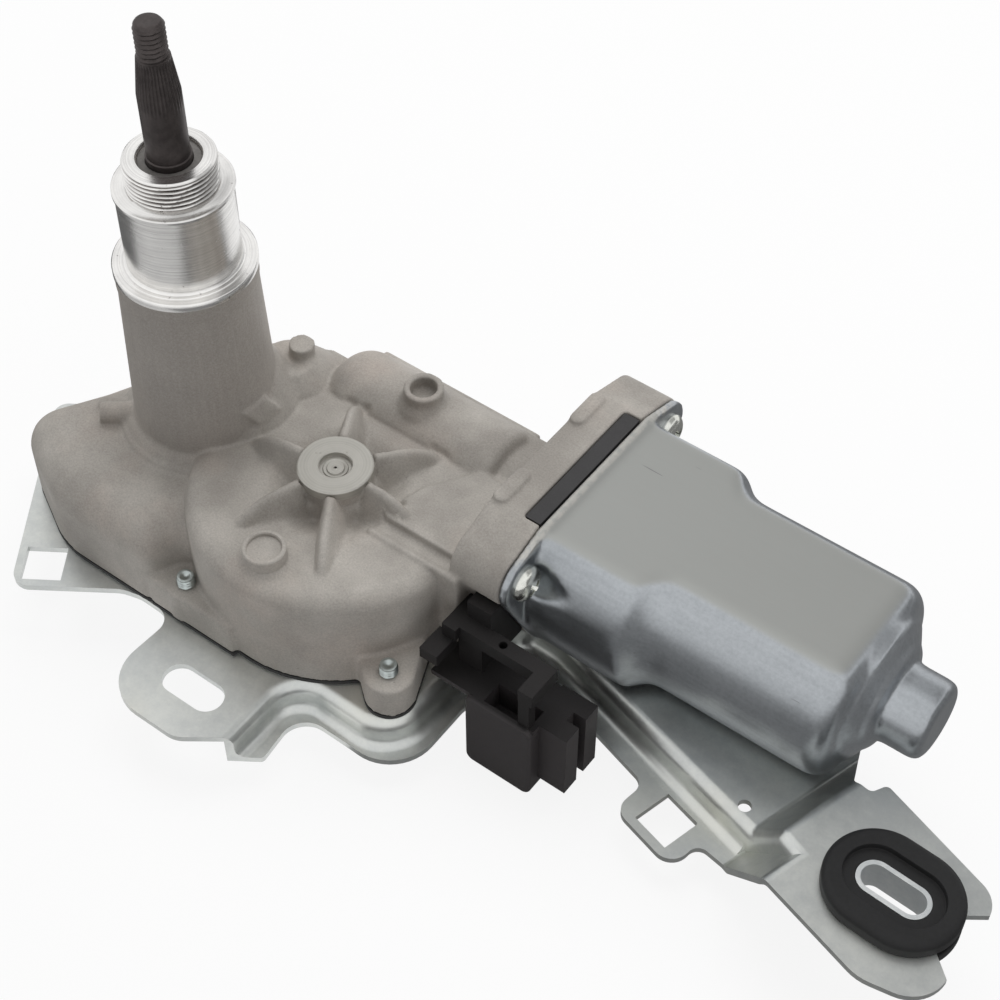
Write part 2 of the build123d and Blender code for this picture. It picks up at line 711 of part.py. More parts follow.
def armature_core():
    shape = Circle(CORE_R) - Circle(ARM_SHAFT_R)
    for i in range(CORE_SLOTS):
        turn = Rot(0, 0, i * 360 / CORE_SLOTS)
        shape -= turn * (Pos(CORE_R, 0) * Rectangle(4, 1.6))
        shape -= turn * (Pos(CORE_R - 4, 0) * Circle(1.9))
    return along(shape, CORE_X, CORE_X + CORE_L)


def armature_coils():
    ring = Circle(COIL_R) - Circle(ARM_SHAFT_R)
    left = along(ring, CORE_X - COIL_L, CORE_X)
    right = along(ring, CORE_X + CORE_L, CORE_X + CORE_L + COIL_L)
    left = fillet(left.edges().group_by(Axis.X)[0].sort_by(SortBy.LENGTH)[-1], 2.4)
    right = fillet(right.edges().group_by(Axis.X)[-1].sort_by(SortBy.LENGTH)[-1], 2.4)
    return Compound(children=[left, right])


def commutator():
    shape = Circle(COMM_R) - Circle(ARM_SHAFT_R)
    for i in range(CORE_SLOTS):
        shape -= Rot(0, 0, (i + 0.5) * 360 / CORE_SLOTS) * (Pos(COMM_R, 0) * Rectangle(1.6, 0.6))
    return along(shape, COMM_X, COMM_X + COMM_L)


def half_tooth(r, base, pitch_half, pitch_inv):
    if r <= base:
        return pitch_half + pitch_inv
    lean = math.acos(base / r)
    return pitch_half + pitch_inv - (math.tan(lean) - lean)


def gear_outline(teeth, module, slack, depth_in=1.25, depth_out=0.85):
    r = module * teeth / 2
    pressure = math.radians(20)
    base = r * math.cos(pressure)
    pitch_inv = math.tan(pressure) - pressure
    pitch_half = math.pi / 2 / teeth - slack / 2 / r
    root = r - depth_in * module
    tip = r + depth_out * module
    low = max(root, base)
    rise = [root, low] if root < base else [root]
    rise += [low + (tip - low) * k / 3 for k in (1, 2, 3)]
    points = []
    for i in range(teeth):
        middle = i * 360 / teeth
        flank = [(math.degrees(half_tooth(q, base, pitch_half, pitch_inv)), q) for q in rise]
        points += [polar(middle - a, q) for a, q in flank]
        points += [polar(middle + a, q) for a, q in reversed(flank)]
    return make_face(Polyline(*points, close=True))


def worm_wheel():
    z0 = AXIS_Z - WHEEL_T / 2
    body = Pos(DRUM_AT[0], DRUM_AT[1], z0) * extrude(gear_outline(WHEEL_TEETH, WHEEL_MODULE, 0.3), WHEEL_T)
    body -= tube(DRUM_AT, WHEEL_PITCH_R - 4.5, WHEEL_HUB_R + 4, AXIS_Z + 1, AXIS_Z + WHEEL_T)
    body += disc(DRUM_AT, WHEEL_HUB_R, z0 - WHEEL_HUB_H, AXIS_Z)
    body -= disc(DRUM_AT, PIN_R + RUN_FIT, 0, DRUM_TOP)
    body -= disc(CRANK_AT, CRANK_PIN_R, 0, z0 + CRANK_PIN_DEEP)
    return body


def wheel_pin():
    return disc(DRUM_AT, PIN_R, AXIS_Z - WHEEL_T / 2 - WHEEL_HUB_H - 1, DRUM_TOP + 1)


def crank_pin():
    return disc(CRANK_AT, CRANK_PIN_R, ROD_Z + ROD_T + AIR, AXIS_Z - WHEEL_T / 2 + CRANK_PIN_DEEP)


def output_shaft():
    body = disc((0, 0), SHAFT_R, SHAFT_FOOT, NOSE_TOP + SPINDLE_GAP)
    body += disc((0, 0), SPINDLE_R, NOSE_TOP, SHAFT_PLAIN_TOP)
    body += cone((0, 0), SPINDLE_R, SHAFT_TIP_R + 0.25, SHAFT_PLAIN_TOP, SHAFT_TAPER_TOP)
    tip = disc((0, 0), SHAFT_TIP_R, SHAFT_TAPER_TOP, SHAFT_TIP)
    return body + chamfer(tip.edges().group_by(Axis.Z)[-1], 0.6)


def output_pinion():
    shape = gear_outline(PINION_TEETH, MODULE, GEAR_SLACK) - Circle(SHAFT_R)
    turned = Rot(0, 0, SECTOR_AT_ANGLE + 180 / PINION_TEETH) * shape
    return slab(turned, ROD_Z, ROD_Z + ROD_T)


def shaft_washer():
    return tube((0, 0), SHAFT_R + 3.4, SHAFT_R + RUN_FIT, BUSH_FOOT - 1.6, BUSH_FOOT - 0.1)


def shaft_ring():
    low = SWING_Z - AIR - 1.0
    return tube((0, 0), SHAFT_R + 2.2, SHAFT_R, low, low + 1.0)


def bush(z0, length):
    return tube((0, 0), SHAFT_R + BUSH_WALL, SHAFT_R + RUN_FIT, z0, z0 + length)


def shaft_seal():
    top = NOSE_TOP - NOSE_MOUTH_H
    return tube((0, 0), NOSE_MOUTH_R, SHAFT_R + RUN_FIT, top, top + 1.2)


def swing_plate():
    ends = [Circle(SHAFT_R + 3.6), Pos(*SECTOR_PIN_AT) * Circle(ROD_END_R)]
    shape = make_hull([*ends[0].edges(), *ends[1].edges()])
    shape -= Circle(SHAFT_R + RUN_FIT)
    shape -= Pos(*SECTOR_PIN_AT) * Circle(SECTOR_PIN_R)
    return slab(shape, SWING_Z, SWING_Z + SWING_T)


def sector_pin():
    return disc(SECTOR_PIN_AT, SECTOR_PIN_R, SWING_Z, ROD_Z + ROD_T + 0.8)


def sector_rod():
    toward = SECTOR_AT_ANGLE + 180
    half = SWING_TURN / 2 + 1.5 * 360 / SECTOR_TEETH
    middle = toward + SWING_TURN / 2
    fan = make_face(Polyline((0, 0), polar(middle - half, 40), polar(middle + half, 40), close=True))
    turned = Rot(0, 0, toward) * gear_outline(SECTOR_TEETH, MODULE, GEAR_SLACK)
    sector = Pos(*SECTOR_PIN_AT) * (turned & fan)
    hub = Pos(*SECTOR_PIN_AT) * Circle(ROD_END_R)
    eye = Pos(*CRANK_AT) * Circle(ROD_END_R)
    waist = Pos((SECTOR_PIN_AT[0] + CRANK_AT[0]) / 2, (SECTOR_PIN_AT[1] + CRANK_AT[1]) / 2 - 3) * Circle(4.5)
    arm = make_hull([*hub.edges(), *waist.edges()]) + make_hull([*waist.edges(), *eye.edges()])
    shape = sector + hub + arm
    shape -= Pos(*SECTOR_PIN_AT) * Circle(SECTOR_PIN_R + RUN_FIT)
    shape -= Pos(*CRANK_AT) * Circle(CRANK_PIN_R + RUN_FIT)
    return slab(shape, ROD_Z, ROD_Z + ROD_T)


def connector():
    x0, x1, y0, y1 = PLUG_X0, PLUG_X1, PLUG_Y0, PLUG_Y1
    w = PLUG_WALL
    body = block(x0, x1, y0, y1, PLUG_FOOT, PLUG_TOP)
    body = fillet(body.edges().filter_by(Axis.Y), 2.0)
    body = fillet(body.edges().filter_by(Axis.Z), 0.8)
    body += block(x1 - 2, BLOCK_X1, BLOCK_Y0, BLOCK_Y1, BLOCK_FOOT, PLUG_TOP)
    body += block(BOX_END + SNUG, x1, -17.4, y1, PLUG_TOP - 1.4, PLUG_TOP)
    body += block(STEM_X0 + AIR, YOKE_X - AIR, STEM_Y, -8.6, PLUG_TOP - 1, GUARD_Z + GUARD_T)
    body += block(STEM_X0 + AIR, YOKE_X - AIR, STEM_Y + 3, STEM_IN - AIR, STEM_Z0 + AIR, STEM_Z1 - AIR)
    body += block(BOX_END + SNUG, x0 - 5.7, -13.6, -4.2, GUARD_Z, GUARD_Z + GUARD_T)
    body += block(x0 - 10.6, x0 - 6.3, -19.0, -12.4, GUARD_Z - 3, GUARD_Z)
    body += block(x0 - 6, x1 - 0.4, -12.4, -9.0, GUARD_Z, GUARD_Z + GUARD_T)
    body += block(x1 - 3.8, x1 - 0.4, -17.6, -9.0, GUARD_Z, GUARD_Z + GUARD_T)
    body -= block(x0 + 4.0, x1 - 1.2, -17.2, -12.2, PLUG_TOP - 6.8, PLUG_TOP + 1)
    body += block(x1 - 3.8, x1 - 1.2, -17.4, -15.2, PLUG_TOP - 7, GUARD_Z + 1)
    body -= block(x0 + w, x1 - w, y0 + w, y1 - w, PLUG_FOOT - 1, PLUG_TOP - 8.6)
    body -= block(BLOCK_X1 - 3, BLOCK_X1 + 1, -11.2, -8.8, BLOCK_FOOT - 1, PLUG_TOP + 1)
    body -= Pos(86.6, -10.7, GUARD_Z) * Cylinder(0.9, 12)
    return body


def terminals():
    blades = []
    for i in range(PINS):
        x = PLUG_X0 + 3.4 + i * (PLUG_X1 - PLUG_X0 - 6.8) / (PINS - 1)
        y = (PLUG_Y0 + PLUG_Y1) / 2
        blades.append(block(x - 0.4, x + 0.4, y - 1.4, y + 1.4, PLUG_FOOT + 3, PLUG_TOP - 8.6))
    return Compound(children=blades)


PARTS = {
    "mounting_bracket": bracket,
    "bracket_grommet": grommet,
    "grommet_sleeve": grommet_sleeve,
    "gear_casing": gear_casing,
    "base_gasket": base_gasket,
    "bracket_screws": bracket_screws,
    "motor_yoke": motor_yoke,
    "yoke_screws": yoke_screws,
    "magnet_front": lambda: magnet(-1),
    "magnet_back": lambda: magnet(1),
    "rear_bearing": rear_bearing,
    "front_bearing": front_bearing,
    "brush_card": brush_card,
    "brush_back": lambda: carbon_brush(1),
    "brush_front": lambda: carbon_brush(-1),
    "spring_back": lambda: brush_spring(1),
    "spring_front": lambda: brush_spring(-1),
    "connector_body": connector,
    "connector_terminals": terminals,
    "armature_shaft": armature_shaft,
    "armature_core": armature_core,
    "armature_coils": armature_coils,
    "commutator": commutator,
    "worm_wheel": worm_wheel,
    "wheel_pin": wheel_pin,
    "crank_pin": crank_pin,
    "output_shaft": output_shaft,
    "output_pinion": output_pinion,
    "shaft_washer": shaft_washer,
    "shaft_ring": shaft_ring,
    "lower_bush": lambda: bush(BUSH_FOOT, 16),
    "upper_bush": lambda: bush(NOSE_TOP - NOSE_MOUTH_H - 18, 18),
    "shaft_seal": shaft_seal,
    "swing_plate": swing_plate,
    "sector_pin": sector_pin,
    "sector_rod": sector_rod,
}

for name, make in PARTS.items():
    export_step(make(), f"parts/{name}.step")
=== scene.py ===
import json
import math

import bmesh
import bpy
import numpy as np
from mathutils import Matrix, Vector

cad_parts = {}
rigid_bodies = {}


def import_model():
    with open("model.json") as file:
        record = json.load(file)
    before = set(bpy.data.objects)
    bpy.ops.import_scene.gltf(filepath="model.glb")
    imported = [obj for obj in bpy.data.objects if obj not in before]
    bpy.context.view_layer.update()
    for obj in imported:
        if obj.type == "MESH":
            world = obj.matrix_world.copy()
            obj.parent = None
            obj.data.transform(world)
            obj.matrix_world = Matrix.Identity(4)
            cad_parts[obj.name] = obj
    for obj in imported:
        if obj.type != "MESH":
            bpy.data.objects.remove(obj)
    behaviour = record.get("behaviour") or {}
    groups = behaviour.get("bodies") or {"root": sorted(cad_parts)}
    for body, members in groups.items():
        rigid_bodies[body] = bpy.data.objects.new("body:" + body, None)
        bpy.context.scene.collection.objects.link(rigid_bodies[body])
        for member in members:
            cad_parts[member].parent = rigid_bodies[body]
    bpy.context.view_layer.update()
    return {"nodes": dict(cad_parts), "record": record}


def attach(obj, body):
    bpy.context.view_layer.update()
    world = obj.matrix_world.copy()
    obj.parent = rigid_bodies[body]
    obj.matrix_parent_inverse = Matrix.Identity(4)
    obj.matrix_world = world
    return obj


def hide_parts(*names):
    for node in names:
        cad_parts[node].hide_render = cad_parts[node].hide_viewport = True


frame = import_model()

mm = 0.001
drumAt = (38, -2.5)  # plan centres: the drum's boss, the low boss, the screws from below
lowBossAt = (39.2, -26.1)
tabScrewsAt = [(20.0, -31.2), (67.7, -23.6), (8.0, 23.0), (52.0, 39.0)]
canAxis = (24.2, 20.5)  # y and z of the motor's axis
nodes = frame["nodes"]
scene = bpy.context.scene
print("frame loaded:", len(nodes), "nodes")


# Shader maths

class Wire:
    def __init__(self, paint, socket):
        self.paint = paint
        self.socket = socket

    def math(self, operation, *others):
        values = {i: v for i, v in enumerate((self,) + others)}
        return self.paint.node("Math", {"operation": operation}, values)["Value"]

    def __add__(self, other):
        return self.math("ADD", other)

    def __sub__(self, other):
        return self.math("SUBTRACT", other)

    def __rsub__(self, other):
        return (self * -1) + other

    def __mul__(self, other):
        return self.math("MULTIPLY", other)

    def __truediv__(self, other):
        return self.math("DIVIDE", other)

    def step(self, low, high):  # smooth 0 to 1 between two values
        settings = {"interpolation_type": "SMOOTHSTEP"}
        return self.paint.node("MapRange", settings, {0: self, 1: low, 2: high, 3: 0.0, 4: 1.0})["Result"]


class Node:
    def __init__(self, paint, raw):
        self.paint = paint
        self.raw = raw

    def __getitem__(self, key):
        return Wire(self.paint, self.raw.outputs[key])


class Paint:
    def __init__(self, name, world=None):
        self.material = world or bpy.data.materials.new(name)
        self.material.use_nodes = True
        self.tree = self.material.node_tree
        self.tree.nodes.clear()

    def node(self, kind, settings=None, values=None):
        raw = self.tree.nodes.new("ShaderNode" + kind)
        for key, value in (settings or {}).items():
            setattr(raw, key, value)
        for key, value in (values or {}).items():
            socket = raw.inputs[key]
            if isinstance(value, Wire):
                self.tree.links.new(value.socket, socket)
            elif isinstance(value, tuple) and len(value) == 3 and socket.type == "RGBA":
                socket.default_value = (*value, 1)
            else:
                socket.default_value = value
        return Node(self, raw)

    def place(self, centre=(0, 0, 0), turn=0.0, stretch=(1, 1, 1)):
        at = self.node("TexCoord")["Object"]
        if centre == (0, 0, 0) and turn == 0 and stretch == (1, 1, 1):
            return at
        origin = tuple(c * mm for c in centre)
        moved = self.node("VectorMath", {"operation": "SUBTRACT"}, {0: at, 1: origin})["Vector"]
        values = {"Vector": moved, "Rotation": (0, 0, -turn), "Scale": stretch}
        return self.node("Mapping", {"vector_type": "POINT"}, values)["Vector"]

    def noise(self, size, detail=2.0, rough=0.5, **where):  # size in mm
        at = self.place(**where)
        values = {"Vector": at, "Scale": 1 / (size * mm), "Detail": detail, "Roughness": rough}
        return self.node("TexNoise", None, values)["Fac"]

    def split(self, **where):
        parts = self.node("SeparateXYZ", None, {0: self.place(**where)})
        return [parts[k] / mm for k in "XYZ"]

    def mix(self, first, second, amount):
        settings = {"data_type": "RGBA"}
        return self.node("Mix", settings, {0: amount, 6: first, 7: second})[2]

    def bump(self, height, depth):  # depth in mm
        values = {"Height": height, "Distance": depth * mm, "Strength": 1.0}
        return self.node("Bump", None, values)["Normal"]

    def output(self, wire, kind="OutputMaterial"):
        self.tree.links.new(wire.socket, self.node(kind).raw.inputs[0])
        return self.material

    def finish(self, colour, rough, metal, normal, **fixed):
        values = {"Base Color": colour, "Roughness": rough, "Metallic": metal, "Normal": normal, **fixed}
        return self.output(self.node("BsdfPrincipled", None, values)["BSDF"])


# Camera

camera = {  # place in metres, angles in degrees, lens in mm
    "at": (0.2250766, -0.1977053, 0.3371757), "heading": 36.69, "pitch": 49.53, "roll": 0.14, "lens": 72.0,
}


def addCamera(c):
    heading, pitch, roll = (math.radians(c[k]) for k in ("heading", "pitch", "roll"))
    right = Vector((math.cos(heading), math.sin(heading), 0))
    level = Vector((-math.sin(heading), math.cos(heading), 0))
    up = Vector((0, 0, 1))
    ahead = math.cos(pitch) * level - math.sin(pitch) * up
    top = math.sin(pitch) * level + math.cos(pitch) * up
    x = math.cos(roll) * right + math.sin(roll) * top
    y = -math.sin(roll) * right + math.cos(roll) * top
    lens = bpy.data.cameras.new("photoLens")
    lens.sensor_width = 36
    lens.lens = c["lens"]
    lens.clip_start = 0.01
    body = bpy.data.objects.new("photoCamera", lens)
    scene.collection.objects.link(body)
    turn = Matrix((x, y, -ahead)).transposed().to_4x4()
    turn.translation = c["at"]
    body.matrix_world = turn
    scene.camera = body


addCamera(camera)
scene.view_settings.view_transform = "Standard"


# Studio: pale floor, soft boxes that light the dull parts, and grey cards that only gloss reflects

studio = {
    "floorZ": -13.4, "floorSize": 3000, "floorGrey": 0.86, "floorGlow": 0.88, "roomLight": 0.31,
    "lamps": [  # name, place, size, watts
        ("topBox", (-40, 330, 760), (800, 600), 5.0),
        ("rightBox", (650, 150, 260), (420, 420), 0.9),
        ("leftBox", (-520, -80, 330), (300, 420), 0.5),
    ],
    "cards": [  # name, grey level, two opposite corners
        ("skyNear", 0.66, (-230, 300, 600), (20, 1100, 600)),
        ("skyFar", 0.42, (20, 150, 600), (700, 1100, 600)),
        ("underMotor", 0.22, (62, -420, -12.9), (460, 300, -12.9)),
        ("front", 0.56, (-180, -420, -12.9), (62, -62, -12.9)),
        ("leftOfTower", 0.12, (-300, -60, -12.9), (-48, 170, -12.9)),
        ("pastCanEnd", 0.24, (520, -60, -12.8), (520, 700, 240)),
    ],
}


def lookAt(place, target=(70, 0, 20)):
    return (Vector(target) - Vector(place)).to_track_quat("-Z", "Y")


def addStudio(s):
    world = bpy.data.worlds.new("room")
    scene.world = world
    paint = Paint("room", world)
    path = paint.node("LightPath")
    seen = path["Is Camera Ray"].math("MAXIMUM", path["Is Glossy Ray"])
    seen = seen.math("MAXIMUM", path["Is Transmission Ray"])
    level = seen * (1.0 - s["roomLight"]) + s["roomLight"]
    back = paint.node("Background", None, {"Color": (1, 1, 1), "Strength": level})
    paint.output(back["Background"], "OutputWorld")

    half = s["floorSize"] * mm / 2
    mesh = bpy.data.meshes.new("floor")
    z = s["floorZ"] * mm
    corners = [(-half, -half, z), (half, -half, z), (half, half, z), (-half, half, z)]
    mesh.from_pydata(corners, [], [(0, 1, 2, 3)])
    floor = bpy.data.objects.new("floor", mesh)
    scene.collection.objects.link(floor)
    paint = Paint("paleFloor")
    path = paint.node("LightPath")
    seen = path["Is Camera Ray"].math("MAXIMUM", path["Is Glossy Ray"])
    plain = paint.node("BsdfDiffuse", None, {"Color": (s["floorGrey"],) * 3})
    white = paint.node("Emission", None, {"Color": (1, 1, 1), "Strength": 1.0})
    both = paint.node("MixShader", None, {0: seen * s["floorGlow"], 1: plain["BSDF"], 2: white["Emission"]})
    mesh.materials.append(paint.output(both["Shader"]))

    for name, place, size, watts in s["lamps"]:
        lamp = bpy.data.lights.new(name, "AREA")
        lamp.shape = "RECTANGLE"
        lamp.size, lamp.size_y = size[0] * mm, size[1] * mm
        lamp.energy = watts
        body = bpy.data.objects.new(name, lamp)
        body.location = Vector(place) * mm
        body.rotation_euler = lookAt(place).to_euler()
        body.visible_glossy = False
        scene.collection.objects.link(body)

    for name, level, (x0, y0, z0), (x1, y1, z1) in s["cards"]:
        mesh = bpy.data.meshes.new(name)
        if z0 == z1:
            corners = [(x0, y0, z0), (x1, y0, z0), (x1, y1, z0), (x0, y1, z0)]
        else:
            corners = [(x0, y0, z0), (x1, y1, z0), (x1, y1, z1), (x0, y0, z1)]
        mesh.from_pydata([Vector(c) * mm for c in corners], [], [(0, 1, 2, 3)])
        paint = Paint(name)
        glow = paint.node("Emission", None, {"Color": (1, 1, 1), "Strength": level})
        mesh.materials.append(paint.output(glow["Emission"]))
        card = bpy.data.objects.new(name, mesh)
        card.visible_camera = False
        card.visible_shadow = False
        card.visible_diffuse = False
        card.visible_transmission = False
        scene.collection.objects.link(card)


addStudio(studio)
print("studio ready")


# Finishes

def castMetal(c):
    paint = Paint("castMetal")
    x, y, z = paint.split()
    clouds = paint.noise(15, 3, 0.6)
    stain = paint.noise(48, 2, 0.5, centre=(7, 3, 1))
    warm = paint.noise(21, 3, 0.6, centre=(31, -8, 4))
    grain = paint.noise(0.42, 3, 0.75)
    pits = paint.noise(0.9, 2, 0.6, centre=(2, 5, 9))
    colour = paint.mix(c["dark"], c["light"], (clouds * 0.7 + stain * 0.5 - 0.1).step(0.28, 0.78))
    colour = paint.mix(colour, c["warm"], warm.step(0.45, 0.8) * 0.55)
    tower = (x * x + y * y).math("SQRT") + z * c["towerTaper"]
    column = z.step(*c["towerZ"]) * (1 - tower.step(*c["towerR"]))
    drawn = paint.noise(1.0, 2, 0.6, stretch=(1, 1, 0.05))
    # painted shade: the tower's column is painted a darker colour than the rest of the casting; its drawn
    # streaks are real
    colour = paint.mix(colour, c["column"], column * 0.75)
    speck = (grain - 0.5) * c["speckle"] + (drawn - 0.5) * column * 0.16 + 1.0
    colour = paint.node("VectorMath", {"operation": "SCALE"}, {0: colour, "Scale": speck})["Vector"]
    pit = pits.step(0.72, 0.8)
    colour = paint.mix(colour, c["pit"], pit * 0.45)
    rough = grain * 0.16 + clouds * 0.08 + c["rough"]
    height = grain * (1 - column * 0.6) + drawn * column * 0.5 - pit * 0.6
    return paint.finish(colour, rough, c["metal"], paint.bump(height, c["grainDepth"]))


def turnedMetal(c):
    paint = Paint(c["name"])
    x, y, z = paint.split(centre=c["centre"])
    radius = (x * x + y * y).math("SQRT")
    rings = paint.node("CombineXYZ", None, {0: radius, 1: z, 2: 0.0})["Vector"]
    values = {"Vector": rings, "Scale": 2.6, "Detail": 3.0, "Roughness": 0.75}
    fine = paint.node("TexNoise", None, values)["Fac"]
    marks = paint.noise(2.0, 3, 0.7, centre=(3, 9, 4)).step(0.66, 0.76)
    cloud = paint.noise(9, 3, 0.6)
    colour = paint.mix(c["dark"], c["light"], (fine * 0.6 + cloud * 0.4).step(0.3, 0.68))
    if "rootR" in c:  # painted shade in the roots of the thread
        rootShade = radius.step(c["rootR"] - 0.6, c["rootR"] - 0.3)
        rootShade = rootShade * (1 - radius.step(c["rootR"] + 0.05, c["rootR"] + 0.5))
        rootShade = rootShade * z.step(*c["threadFoot"]) * (1 - z.step(*c["threadTop"]))
        colour = paint.mix(colour, c["mark"], rootShade * 0.85)
    colour = paint.mix(colour, c["mark"], marks * 0.75)
    rough = fine * 0.1 + marks * 0.25 + cloud * 0.06 + c["rough"]
    return paint.finish(colour, rough, c["metal"], paint.bump(fine, c["depth"]))


def sheetZinc(c):
    paint = Paint(c["name"])
    broad = paint.noise(26, 3, 0.55)
    small = paint.noise(2.4, 3, 0.6)
    crystals = paint.noise(0.7, 3, 0.7)
    brushed = paint.noise(0.5, 2, 0.5, stretch=(0.16, 1, 1), turn=c["grainTurn"])
    tone = broad * 0.6 + small * 0.25 + crystals * 0.15
    colour = paint.mix(c["dark"], c["light"], tone.step(0.32, 0.68))
    colour = paint.mix(colour, c["tint"], paint.noise(33, 2, 0.5, centre=(20, 4, 0)).step(0.5, 0.75) * 0.5)
    rough = broad * 0.1 + small * 0.08 + crystals * 0.05 + c["rough"]
    height = brushed * 0.5 + small * 0.3 + crystals * 0.3
    return paint.finish(colour, rough, c["metal"], paint.bump(height, c["depth"]))


def drawnCan(c):
    paint = Paint("drawnCan")
    x, y, z = paint.split()
    broad = paint.noise(30, 3, 0.6)
    fine = paint.noise(0.8, 3, 0.7)
    streak = paint.noise(0.9, 2, 0.5, stretch=(0.05, 1, 1))
    colour = paint.mix(c["dark"], c["light"], (broad * 0.45 + fine * 0.35 + streak * 0.2).step(0.3, 0.7))
    # painted light: the flat top gets its own colour, matched to how light falls on it
    top = z.step(*c["topZ"])
    colour = paint.mix(colour, c["top"], top * 0.9)
    lip = (1 - x.step(*c["lipX"])) * z.step(*c["lipZ"])
    colour = paint.mix(colour, c["lip"], lip * paint.noise(1.6, 3, 0.7).step(0.3, 0.6))
    scratch = paint.noise(0.6, 1, 0.5, stretch=(0.04, 1, 1), turn=0.35, centre=(12, 3, 0)).step(0.77, 0.79)
    colour = paint.mix(colour, c["scratch"], scratch * paint.noise(17, 1, 0.5).step(0.57, 0.62) * 0.6)
    rough = broad * 0.08 + fine * 0.08 + top * c["topRough"] + c["rough"]
    height = fine * 0.8 + streak * 0.35
    return paint.finish(colour, rough, c["metal"], paint.bump(height, c["depth"]))


def darker(colour, spread):
    return tuple(v * (1 - spread) for v in colour)


def plainMetal(name, colour, rough, metal=1.0, size=1.5, depth=0.01, spread=0.25):
    paint = Paint(name)
    cloud = paint.noise(size, 3, 0.6)
    tone = paint.mix(darker(colour, spread), colour, cloud.step(0.3, 0.7))
    return paint.finish(tone, cloud * 0.12 + rough, metal, paint.bump(paint.noise(size * 0.3, 2, 0.6), depth))


def moulded(name, colour, rough, size=0.35, depth=0.02, spread=0.35, low=None, **fixed):
    paint = Paint(name)
    grain = paint.noise(size, 2, 0.6)
    wear = paint.noise(11, 3, 0.6)
    tone = paint.mix(darker(colour, spread), colour, (grain * 0.4 + wear * 0.6).step(0.3, 0.7))
    if low:  # painted sheen: the plug's lower part is painted a lighter grey
        tone = paint.mix(low["colour"], tone, paint.split()[2].step(*low["z"]))
    return paint.finish(tone, wear * 0.12 + rough, 0.0, paint.bump(grain, depth), **fixed)


finishes = {
    "cast": castMetal({
        "dark": (0.300, 0.279, 0.254), "light": (0.500, 0.472, 0.434), "warm": (0.480, 0.412, 0.365),
        # column is the painted shade colour of the tower's column
        "column": (0.345, 0.318, 0.292), "pit": (0.15, 0.135, 0.12), "speckle": 0.8, "rough": 0.5,
        "metal": 0.22, "grainDepth": 0.05,
        "towerZ": (25.5, 30.0), "towerR": (17.1, 17.6), "towerTaper": 0.042}),
    "turned": turnedMetal({
        "name": "turnedNeck", "centre": (0, 0, 0), "dark": (0.64, 0.63, 0.62), "light": (0.93, 0.92, 0.90),
        # the mark colour serves both the real tool marks and the painted shade in the thread roots
        "mark": (0.16, 0.14, 0.13), "rough": 0.16, "metal": 1.0, "depth": 0.01,
        "rootR": 8.66, "threadFoot": (87.3, 87.7), "threadTop": (92.9, 93.1)}),
    "faced": turnedMetal({
        "name": "facedBoss", "centre": (*drumAt, 0), "dark": (0.39, 0.378, 0.345),
        "light": (0.50, 0.487, 0.45), "mark": (0.34, 0.31, 0.28),
        "rough": 0.36, "metal": 0.75, "depth": 0.012}),
    "bracket": sheetZinc({
        "name": "bracketZinc", "dark": (0.53, 0.55, 0.545), "light": (0.72, 0.735, 0.705),
        "tint": (0.71, 0.70, 0.62), "grainTurn": 0.4, "rough": 0.26, "metal": 0.95, "depth": 0.008}),
    "can": drawnCan({
        # top is the flat top's own colour, painted light
        "dark": (0.33, 0.35, 0.37), "light": (0.47, 0.495, 0.52), "top": (0.42, 0.425, 0.405),
        "lip": (0.52, 0.51, 0.48), "scratch": (0.2, 0.2, 0.2), "topZ": (36.4, 37.1), "lipX": (84.3, 84.9),
        "lipZ": (34.5, 36.0), "topRough": 0.2, "rough": 0.24, "metal": 0.92, "depth": 0.012}),
    "sleeve": sheetZinc({
        "name": "sleeveZinc", "dark": (0.62, 0.65, 0.66), "light": (0.84, 0.85, 0.84),
        "tint": (0.84, 0.68, 0.74), "grainTurn": 0.0, "rough": 0.2, "metal": 0.7, "depth": 0.008}),
    "shaft": plainMetal("phosphatedShaft", (0.086, 0.074, 0.072), 0.38, 0.8, 2.5, 0.012, 0.35),
    "screw": plainMetal("brightScrew", (0.78, 0.79, 0.74), 0.14, 1.0, 1.2, 0.006, 0.12),
    "tip": plainMetal("screwTip", (0.50, 0.55, 0.54), 0.25, 1.0, 0.8, 0.01, 0.2),
    "steel": plainMetal("groundSteel", (0.45, 0.44, 0.43), 0.3),
    "copper": plainMetal("copperWire", (0.55, 0.22, 0.08), 0.35),
    "bronze": plainMetal("sinteredBronze", (0.36, 0.24, 0.11), 0.5),
    "brass": plainMetal("tinnedBlade", (0.62, 0.58, 0.47), 0.3),
    "ferrite": plainMetal("ferrite", (0.09, 0.09, 0.09), 0.6, 0.3),
    # low paints the plug's lower part lighter, a painted sheen
    "plastic": moulded("blackNylon", (0.017, 0.0155, 0.0155), 0.5,
                       low={"colour": (0.046, 0.041, 0.042), "z": (8.8, 9.3)}, **{"Specular IOR Level": 0.3}),
    "card": moulded("greyCard", (0.040, 0.039, 0.040), 0.55),
    "rubber": moulded("blackRubber", (0.014, 0.014, 0.0145), 0.5, 0.8, 0.03, **{"Specular IOR Level": 0.35}),
    "carbon": moulded("pressedCarbon", (0.03, 0.03, 0.03), 0.6),
    "gasket": moulded("gasketSheet", (0.05, 0.05, 0.05), 0.8),
    "acetal": moulded("acetal", (0.72, 0.68, 0.58), 0.4, 0.6, 0.01, 0.1),
    "seal": plainMetal("sealFace", (0.20, 0.19, 0.18), 0.5, 0.4, 0.8, 0.04),
}
print("finishes ready")


# Mesh helpers

def bodyOf(node):
    for body, members in frame["record"]["behaviour"]["bodies"].items():
        if node in members:
            return body


